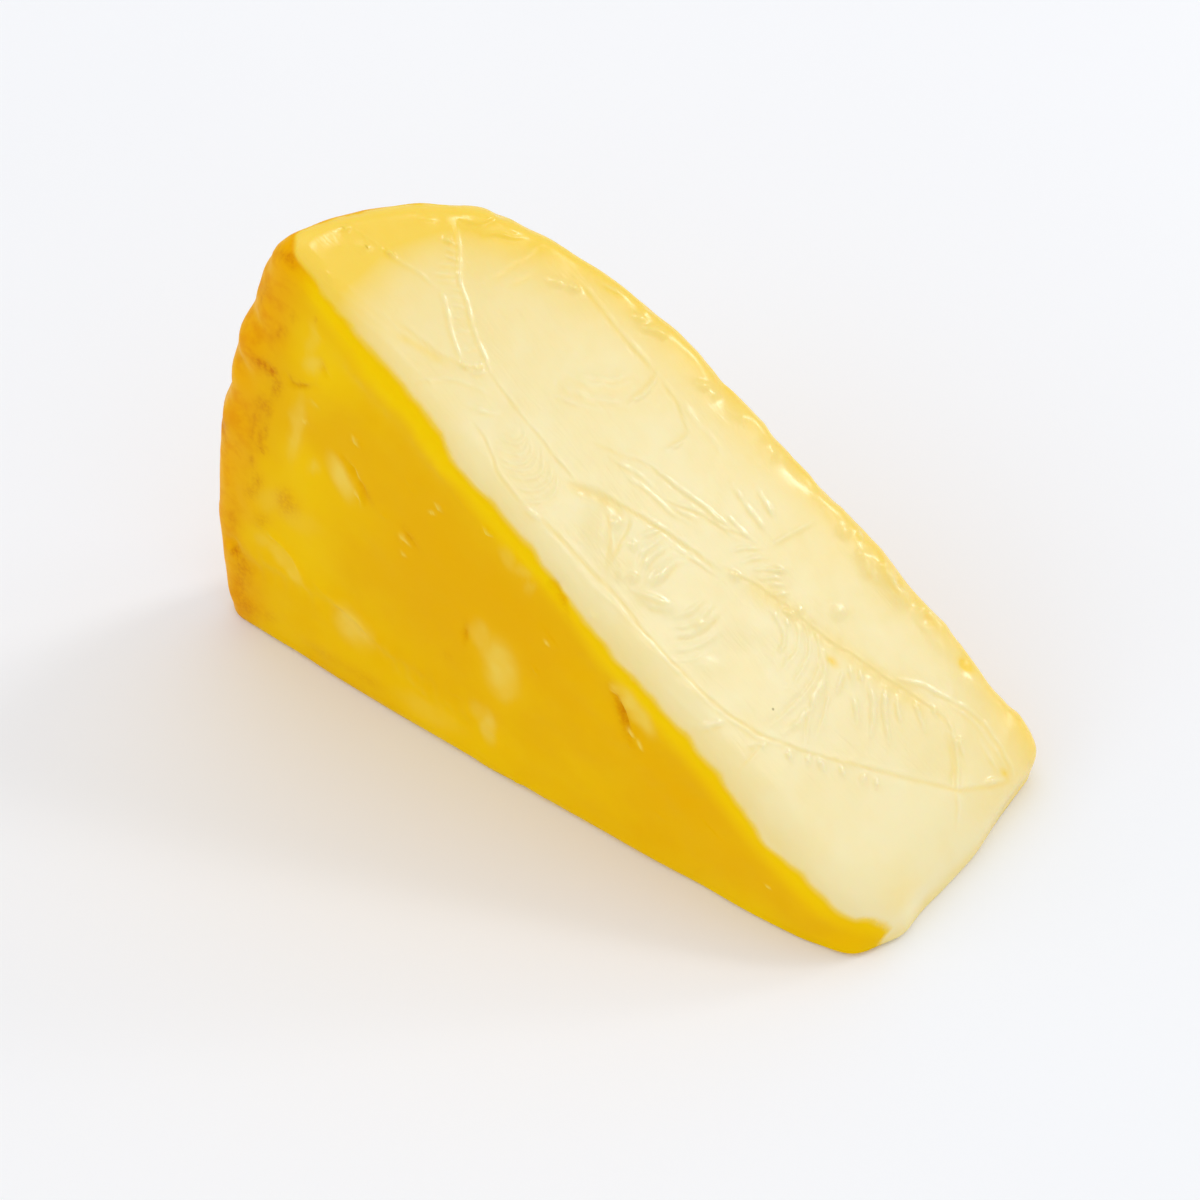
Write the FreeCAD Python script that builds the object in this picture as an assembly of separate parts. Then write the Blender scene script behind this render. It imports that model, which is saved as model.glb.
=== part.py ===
"""Smoked gouda wedge: one solid, lying on one of its two cut faces.

Frame, in millimetres: +Z up, the rest plane is z = 0. +X runs along the wedge
from the smoked rim to the blunt tip, +Y runs across the wheel's thickness from
its flat base to its domed top. The origin is the middle of the bounding box's
underside.

The outer skin is a surface of revolution, the wheel that the wedge was cut
from. Two knife cuts that meet short of the wheel's middle make the wedge, and
a small third cut, a little bowed, blunts the tip. The edges are soft, as in a
young cheese that was pressed in a film, and least so where it rests.
"""

import FreeCAD
import Part
import math
import os

V = FreeCAD.Vector

# ---- driving dimensions, mm ----------------------------------------------
wheel_radius = 150.5      # rim of the wheel the wedge was cut from
wheel_height = 49.2       # thickness at the wheel's middle
crown_drop = 8.4          # how much lower the domed top is at the rim
shoulder_power = 9.2      # higher is a squarer shoulder between top and rim
rim_power = 1.42          # how the rim leaves the flat base, 1 is a slant, 2 is round
base_edge_radius = 5.5    # rounding between the base and the rim
base_bow = 1.2            # how far the base stands out of flat
base_bow_power = 1.4      # higher takes the fullest part of the base nearer the rim

wedge_length = 117.6      # along the lower cut, from the old rim line to the tip
axis_back = 146.3         # wheel axis, along the lower cut
axis_up = 12.5            # wheel axis above the lower cut
rim_cut_height = 87.1     # a point that the upper cut passes through, near the rim
rim_cut_inset = 17.4      # how far along that point stands
tip_height = 8.9          # height of the blunt end, before its edges are rounded
tip_bow = 2.2             # how far the blunt end stands out at its middle
tip_base_radius = 10.0    # upright corner between the blunt end and the base
tip_dome_radius = 6.0     # upright corner between the blunt end and the domed top
tip_top_radius = 5.0      # from the upper cut over to the blunt end
rim_edge_radius = 3.4     # soft edge of the upper cut, from the rim on
rest_radius = 1.3         # edge all round the lower cut, where it rests

profile_points = 34       # samples on the domed profile
margin = 30.0             # how far the cutting prisms run past the wheel


# ---- the wheel -------------------------------------------------------------
def dome_height(r):
    """Height of the domed top above the flat base at radius r."""
    a = min(max(r / wheel_radius, 0.0), 1.0)
    return (wheel_height - crown_drop * a * a) * (1.0 - a ** shoulder_power) ** (1.0 / rim_power)


def base_depth(r, reach):
    """How far the bowed base stands out at radius r, zero at the axis and at its outer edge."""
    q = (r / reach) ** base_bow_power
    return -4.0 * base_bow * q * (1.0 - q)


def dome_radius(y):
    """Radius of the rim at height y, the inverse of dome_height near the rim."""
    low, high = 0.6 * wheel_radius, wheel_radius
    for _ in range(80):
        mid = 0.5 * (low + high)
        if dome_height(mid) > y:
            low = mid
        else:
            high = mid
    return 0.5 * (low + high)


def even(points, count):
    """The same polyline with count evenly spaced points."""
    run = [0.0]
    for p, q in zip(points, points[1:]):
        run.append(run[-1] + math.hypot(q[0] - p[0], q[1] - p[1]))
    made, k = [], 0
    for i in range(count):
        want = run[-1] * i / (count - 1)
        while k < len(run) - 2 and run[k + 1] < want:
            k += 1
        t = (want - run[k]) / max(run[k + 1] - run[k], 1e-12)
        made.append((points[k][0] + t * (points[k + 1][0] - points[k][0]),
                     points[k][1] + t * (points[k + 1][1] - points[k][1])))
    return made


def wheel():
    """Solid of revolution about an axis along Y."""
    re = base_edge_radius
    # rounding between base and rim: a quarter round laid against the rim line
    lower = []
    for i in range(13):
        y = re * (1.0 - math.cos(0.5 * math.pi * i / 12))
        back = re * (1.0 - math.sqrt(max(0.0, 1.0 - (1.0 - y / re) ** 2)))
        lower.append((dome_radius(y) - back, y))
    # rim and shoulder, dense in height, then the top, dense in radius
    start, turn = lower[-1][1], 0.78 * wheel_height
    dense = [(dome_radius(start + (turn - start) * i / 400.0), start + (turn - start) * i / 400.0) for i in range(401)]
    reach = dense[-1][0]
    dense += [(reach * (1.0 - i / 300.0), dome_height(reach * (1.0 - i / 300.0))) for i in range(1, 301)]
    upper = even(dense, profile_points)

    def at(p):
        return V(axis_back + p[0], p[1], axis_up)

    # the bowed base, from the axis out
    rb = lower[0][0]
    base = [(rb * i / 16.0, base_depth(rb * i / 16.0, rb)) for i in range(17)]
    lift = V(1.0, 4.0 * base_bow * base_bow_power / rb, 0).normalize()
    slope = V(upper[1][0] - upper[0][0], upper[1][1] - upper[0][1], 0).normalize()
    c0 = Part.BSplineCurve()
    c0.interpolate(Points=[at(p) for p in base], InitialTangent=V(1, 0, 0), FinalTangent=lift)
    c1 = Part.BSplineCurve()
    c1.interpolate(Points=[at(p) for p in lower], InitialTangent=lift, FinalTangent=slope)
    c2 = Part.BSplineCurve()
    c2.interpolate(Points=[at(p) for p in upper], InitialTangent=slope, FinalTangent=V(-1, 0, 0))
    foot, head = V(axis_back, 0, axis_up), V(axis_back, upper[-1][1], axis_up)
    wire = Part.Wire([
        c0.toShape(),
        c1.toShape(),
        c2.toShape(),
        Part.LineSegment(head, foot).toShape(),
    ])
    return Part.Face(wire).revolve(foot, V(0, 1, 0), 360)


# ---- the cuts ----------------------------------------------------------------
slope_down = (rim_cut_height - tip_height) / (wedge_length - rim_cut_inset)


def wedge_prism():
    """Everything between the lower and the upper cut."""
    far, past = -margin, wedge_length + 0.9 * tip_height / slope_down
    corners = [(far, 0.0), (past, 0.0),
               (past, rim_cut_height - (past - rim_cut_inset) * slope_down),
               (far, rim_cut_height + (rim_cut_inset - far) * slope_down)]
    wire = Part.makePolygon([V(x, -margin, z) for x, z in corners + corners[:1]])
    return Part.Face(wire).extrude(V(0, wheel_height + 2 * margin, 0))


def tip_prism():
    """Everything on the wheel's rim side of the bowed third cut."""
    y0, y1 = -margin, wheel_height + margin
    middle = 0.5 * wheel_height
    radius = (0.5 * wheel_height) ** 2 / (2.0 * tip_bow)
    x_end = wedge_length + tip_bow

    def bow(y):
        return x_end - (radius - math.sqrt(radius ** 2 - (y - middle) ** 2))

    a, m, b = V(bow(y0), y0, -margin), V(x_end, middle, -margin), V(bow(y1), y1, -margin)
    p, q = V(-margin, y1, -margin), V(-margin, y0, -margin)
    wire = Part.Wire([Part.Arc(a, m, b).toShape(), Part.LineSegment(b, p).toShape(),
                      Part.LineSegment(p, q).toShape(), Part.LineSegment(q, a).toShape()])
    return Part.Face(wire).extrude(V(0, 0, rim_cut_height + 4 * margin))


# ---- finding edges by where they lie -------------------------------------------
up_normal = V(slope_down, 0, 1).normalize()
up_point = V(rim_cut_inset, 0, rim_cut_height)


def on_lower(p):
    return abs(p.z) < 1e-3


def on_upper(p):
    return abs((p - up_point).dot(up_normal)) < 1e-3


def softness(p):
    """Radius of the upper cut's edge at a corner of it."""
    return tip_top_radius if p.x > 0.5 * wedge_length else rim_edge_radius


def samples(edge, n=5):
    a, b = edge.FirstParameter, edge.LastParameter
    return [edge.valueAt(a + (b - a) * i / (n - 1.0)) for i in range(n)]


def rounded(shape, radii):
    """Fillets with a radius at each end of each edge: radii is [(edge number, at its start, at its end)]."""
    doc = FreeCAD.newDocument("scratch")
    base = doc.addObject("Part::Feature", "base")
    base.Shape = shape
    made = doc.addObject("Part::Fillet", "made")
    made.Base = base
    made.Edges = radii
    doc.recompute()
    out = made.Shape.copy()
    FreeCAD.closeDocument(doc.Name)
    return out


def build():
    body = wheel().common(wedge_prism()).common(tip_prism()).Solids[0]

    # upright corners of the tip, and the loop round the upper cut, which is
    # larger over the tip
    radii = []
    for i, e in enumerate(body.Edges, 1):
        pts = samples(e)
        if all(on_upper(p) for p in pts):
            radii.append((i, softness(pts[0]), softness(pts[-1])))
        elif all(p.x > wedge_length - 3.0 for p in pts) and abs(pts[0].z - pts[-1].z) > 0.5 * tip_height:
            r = tip_dome_radius if pts[2].y > 0.5 * wheel_height else tip_base_radius
            radii.append((i, r, r))
    body = rounded(body, radii).Solids[0]

    # loop round the lower cut
    loop = [e for e in body.Edges if all(on_lower(p) for p in samples(e))]
    body = body.makeFillet(rest_radius, loop).Solids[0]

    box = body.optimalBoundingBox(False, False)
    move = V(-0.5 * (box.XMin + box.XMax), -0.5 * (box.YMin + box.YMax), -box.ZMin)
    body.translate(move)
    print("moved by", [round(v, 3) for v in move])
    return body


os.makedirs("parts", exist_ok=True)
solid = build()
print("valid", solid.isValid(), "closed", solid.isClosed(), "faces", len(solid.Faces), "volume cm3", round(solid.Volume / 1000, 2))
b = solid.optimalBoundingBox(False, False)
print("box", [round(v, 2) for v in (b.XMin, b.YMin, b.ZMin, b.XMax, b.YMax, b.ZMax)])
solid.exportStep("parts/cheese_wedge.step")
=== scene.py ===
"""Looks of the smoked gouda wedge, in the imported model's frame, in metres.

The cheese is one closed mesh that stands for the CAD solid. Its surface is the
same wheel, the same two knife cuts and the same blunt tip, worked out in
millimetres as one rounded intersection, and then given what a soft cheese
keeps from the film it was pressed in: creases, ripples, small bumps and dents.
"""
import math
import bpy
import bmesh
import numpy as np
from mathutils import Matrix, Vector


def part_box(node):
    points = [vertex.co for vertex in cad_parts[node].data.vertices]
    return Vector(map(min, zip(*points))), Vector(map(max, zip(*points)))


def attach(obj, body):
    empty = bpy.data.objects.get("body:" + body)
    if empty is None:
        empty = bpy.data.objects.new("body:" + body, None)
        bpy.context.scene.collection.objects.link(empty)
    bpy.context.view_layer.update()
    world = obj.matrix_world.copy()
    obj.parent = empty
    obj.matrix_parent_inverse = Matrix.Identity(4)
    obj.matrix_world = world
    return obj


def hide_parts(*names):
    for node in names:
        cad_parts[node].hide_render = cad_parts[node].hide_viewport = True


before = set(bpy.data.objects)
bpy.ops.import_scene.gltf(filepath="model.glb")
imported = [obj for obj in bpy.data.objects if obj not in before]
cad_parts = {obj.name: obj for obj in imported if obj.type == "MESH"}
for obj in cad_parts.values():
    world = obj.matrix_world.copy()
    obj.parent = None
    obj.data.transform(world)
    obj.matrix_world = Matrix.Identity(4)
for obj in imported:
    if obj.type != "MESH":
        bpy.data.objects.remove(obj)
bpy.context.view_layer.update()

# ---------------------------------------------------------------- dimensions, mm
# the wheel that the wedge was cut from
WHEEL_R, WHEEL_H, CROWN = 150.5, 49.2, 8.4
SHOULDER, RIM_POWER, BASE_ROUND = 9.2, 1.42, 5.5
BASE_BOW, BASE_BOW_POWER = 1.2, 1.4
AXIS_X, AXIS_Z = 146.3, 12.5
# the cuts
LENGTH, CUT_X, CUT_Z, TIP_H, TIP_BOW = 117.6, 17.4, 87.1, 8.9, 2.2
SLOPE = (CUT_Z - TIP_H) / (LENGTH - CUT_X)
UP = np.array([SLOPE, 0.0, 1.0]) / math.hypot(SLOPE, 1.0)      # normal of the upper cut
ALONG = np.array([1.0, 0.0, -SLOPE]) / math.hypot(SLOPE, 1.0)  # down the upper cut

# The wheel's numbers above are laid out from the old rim corner; the packed
# solid stands with its box's middle at the origin.
lo, hi = [np.array(c, float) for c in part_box("cheese_wedge")]
SHIFT = np.array([hi[0] * 1000 - LENGTH - TIP_BOW, lo[1] * 1000 + BASE_BOW, lo[2] * 1000])


# ---------------------------------------------------------------- smooth noise
def lattice(ix, iy, iz, seed):
    n = (ix * 374761393 + iy * 668265263 + iz * 2147483647 + seed * 1274126177) & 0xFFFFFFFF
    n = ((n ^ (n >> 13)) * 1274126177) & 0xFFFFFFFF
    n = (n ^ (n >> 16)) & 0xFFFF
    return n.astype(np.float64) / 32767.5 - 1.0


def noise(p, size, seed):
    """Value noise in -1..1 with cells of the given size in mm."""
    q = np.asarray(p, float) / size + 1000.0
    i = np.floor(q).astype(np.int64)
    t = q - i
    t = t * t * t * (t * (t * 6 - 15) + 10)
    out = 0.0
    for dx in (0, 1):
        wx = t[:, 0] if dx else 1 - t[:, 0]
        for dy in (0, 1):
            wy = t[:, 1] if dy else 1 - t[:, 1]
            for dz in (0, 1):
                wz = t[:, 2] if dz else 1 - t[:, 2]
                out = out + wx * wy * wz * lattice(i[:, 0] + dx, i[:, 1] + dy, i[:, 2] + dz, seed)
    return out


def smooth(a, b, x):
    t = np.clip((x - a) / (b - a), 0.0, 1.0)
    return t * t * (3 - 2 * t)


# ---------------------------------------------------------------- the wedge's surface
def round_meet(a, b, r):
    """Rounded intersection of two signed distances."""
    u, v = np.maximum(r + a, 0), np.maximum(r + b, 0)
    return np.minimum(-r, np.maximum(a, b)) + np.sqrt(u * u + v * v)


def upper_depth(p):
    """Signed distance above the upper cut."""
    return (p[:, 0] - CUT_X) * UP[0] + (p[:, 2] - CUT_Z) * UP[2]


def surface(p):
    x, y, z = p[:, 0], p[:, 1], p[:, 2]
    r = np.hypot(x - AXIS_X, z - AXIS_Z)
    a = r / WHEEL_R
    top = WHEEL_H - CROWN * a * a
    q = np.maximum(y / top, 0)
    g = a ** SHOULDER + q ** RIM_POWER - 1
    gr = SHOULDER * a ** (SHOULDER - 1) / WHEEL_R + RIM_POWER * q ** (RIM_POWER - 1) * y * 2 * CROWN * a / WHEEL_R / top ** 2
    gy = RIM_POWER * q ** (RIM_POWER - 1) / top
    dome = np.maximum(g / np.sqrt(gr * gr + gy * gy + 1e-12), -12)
    b = np.clip(a, 0, 1) ** BASE_BOW_POWER
    base = -4 * BASE_BOW * b * (1 - b) - y
    mid = 0.5 * WHEEL_H
    bow = mid ** 2 / (2 * TIP_BOW)
    tip = np.hypot(x - (LENGTH + TIP_BOW - bow), y - mid) - bow
    body = np.maximum(round_meet(dome, base, BASE_ROUND),
                      np.where(y > mid, round_meet(dome, tip, 5.0), round_meet(base, tip, 11.1)))
    # the upper cut's edge turns over softly, tighter in the middle of the turn than at its ends
    r = 1.21 * (3.4 + 1.6 * np.clip((x - 40) / 70, 0, 1) * (1 - smooth(26.0, 42.0, y) * smooth(104.0, 114.0, x)))
    cut = upper_depth(p)
    u, v = np.maximum(r + body, 1e-9), np.maximum(r + cut, 1e-9)
    body = np.minimum(-r, np.maximum(body, cut)) + (u ** 2.5 + v ** 2.5) ** 0.4
    return round_meet(body, -z, 1.3)


def slope_of(p, h=0.02):
    g = np.empty_like(p)
    for i in range(3):
        e = np.zeros(3)
        e[i] = h
        g[:, i] = (surface(p + e) - surface(p - e)) / (2 * h)
    return g


def settle(p, rounds):
    """Moves points onto the surface."""
    for _ in range(rounds):
        g = slope_of(p)
        step = np.clip(surface(p) / (np.sum(g * g, axis=1) + 1e-9), -4, 4)
        p = p - step[:, None] * g
    return p


# ---------------------------------------------------------------- coarse mesh
# The wheel's profile is a closed loop from the blunt tip out along the base,
# round the rim and back over the dome. It is swept in sheets that fan out from
# the line where the two cuts would meet, and the two cuts close its ends.
NA, NB, SHEETS = 83, 33, 42
HINGE_X = LENGTH + TIP_H / SLOPE
FAN = math.atan(SLOPE)


def reach(r, phi):
    """Distance from the hinge line, along a sheet, to wheel radius r."""
    u = (-math.cos(phi), math.sin(phi))
    hx, hz = HINGE_X - AXIS_X, -AXIS_Z
    b = u[0] * hx + u[1] * hz
    return -b + np.sqrt(np.maximum(b * b - (hx * hx + hz * hz) + r * r, 0))


def profile():
    """(radius, thickness) from the base's outer edge round the rim to the shoulder and over the dome."""
    a = np.concatenate([np.linspace(1, 0.99, 60), np.linspace(0.99, 0.9, 200), np.linspace(0.9, 0.1, 400)])
    y = (WHEEL_H - CROWN * a * a) * (1 - a ** SHOULDER) ** (1 / RIM_POWER)
    return a * WHEEL_R, y


def along(points, n):
    """n + 1 points evenly spaced along a polyline."""
    run = np.concatenate([[0], np.cumsum(np.hypot(*np.diff(points, axis=0).T))])
    want = np.linspace(0, run[-1], n + 1)
    return np.stack([np.interp(want, run, points[:, 0]), np.interp(want, run, points[:, 1])], axis=1)


def sheet_loop(phi):
    """Four runs of (distance from hinge, y): base, rim, dome, tip end."""
    pr, py = profile()
    d = reach(pr, phi)
    tip = (HINGE_X - (LENGTH + TIP_BOW)) / math.cos(phi)
    keep = d > tip
    d, y = d[keep], py[keep]
    run = np.concatenate([[0], np.cumsum(np.hypot(np.diff(d), np.diff(y)))])
    k = int(np.searchsorted(run, 50.0))          # shoulder, where the rim turns into the dome
    rim = np.stack([d[:k + 1], y[:k + 1]], axis=1)
    dome = np.stack([d[k:], y[k:]], axis=1)
    dome = np.concatenate([dome, [[tip, dome[-1, 1]]]])
    base = np.array([[tip, 0.0], [d[0], 0.0]])
    end = np.array([[tip, dome[-1, 1]], [tip, 0.0]])
    return along(base, NA), along(rim, NB), along(dome, NA), along(end, NB)


def place(dy, phi):
    return np.stack([HINGE_X - dy[:, 0] * math.cos(phi), dy[:, 1], dy[:, 0] * math.sin(phi)], axis=1)


def cap(runs):
    """Transfinite fill of a loop: (NA + 1) x (NB + 1) points."""
    base, rim, dome, end = runs
    bottom, top = base, dome[::-1]                # both from tip to rim
    left, right = end[::-1], rim                  # both from base to dome
    u = np.linspace(0, 1, NA + 1)[:, None, None]
    v = np.linspace(0, 1, NB + 1)[None, :, None]
    return ((1 - v) * bottom[:, None] + v * top[:, None] + (1 - u) * left[None] + u * right[None]
            - (1 - u) * (1 - v) * bottom[0] - u * (1 - v) * bottom[-1] - (1 - u) * v * top[0] - u * v * top[-1])


def coarse():
    points, faces = [], []

    def add(p):
        n = sum(len(q) for q in points)
        points.append(p)
        return np.arange(n, n + len(p))

    loops = []
    ring = 2 * (NA + NB)
    for k in range(SHEETS + 1):
        t = k / SHEETS
        phi = FAN * t
        runs = sheet_loop(phi)
        if k in (0, SHEETS):
            grid = cap(runs)
            ids = add(place(grid.reshape(-1, 2), phi)).reshape(NA + 1, NB + 1)
            edge = np.concatenate([ids[:-1, 0], ids[-1, :-1], ids[:0:-1, -1], ids[0, :0:-1]])
            quads = np.stack([ids[:-1, :-1], ids[1:, :-1], ids[1:, 1:], ids[:-1, 1:]], axis=-1).reshape(-1, 4)
            faces.append(quads[:, ::-1] if k == 0 else quads)
            loops.append(edge)
        else:
            flat = np.concatenate([r[:-1] for r in runs])
            loops.append(add(place(flat, phi)))
    for low, high in zip(loops, loops[1:]):
        nxt = np.arange(1, ring + 1) % ring
        faces.append(np.stack([low, low[nxt], high[nxt], high], axis=-1))
    return np.concatenate(points), np.concatenate(faces)


def refine(mesh, wanted):
    """Splits the faces whose middle is wanted, once."""
    bm = bmesh.new()
    bm.from_mesh(mesh)
    mids = np.array([f.calc_center_median() for f in bm.faces])
    mask = wanted(mids)
    edges = set()
    for f, m in zip(bm.faces, mask):
        if m:
            edges.update(f.edges)
    bmesh.ops.subdivide_edges(bm, edges=list(edges), cuts=1, use_grid_fill=True)
    bm.to_mesh(mesh)
    bm.free()


def coords(mesh):
    c = np.empty(len(mesh.vertices) * 3)
    mesh.vertices.foreach_get("co", c)
    return c.reshape(-1, 3)


def store(mesh, c):
    mesh.vertices.foreach_set("co", np.ascontiguousarray(c, float).ravel())
    mesh.update()


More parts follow.
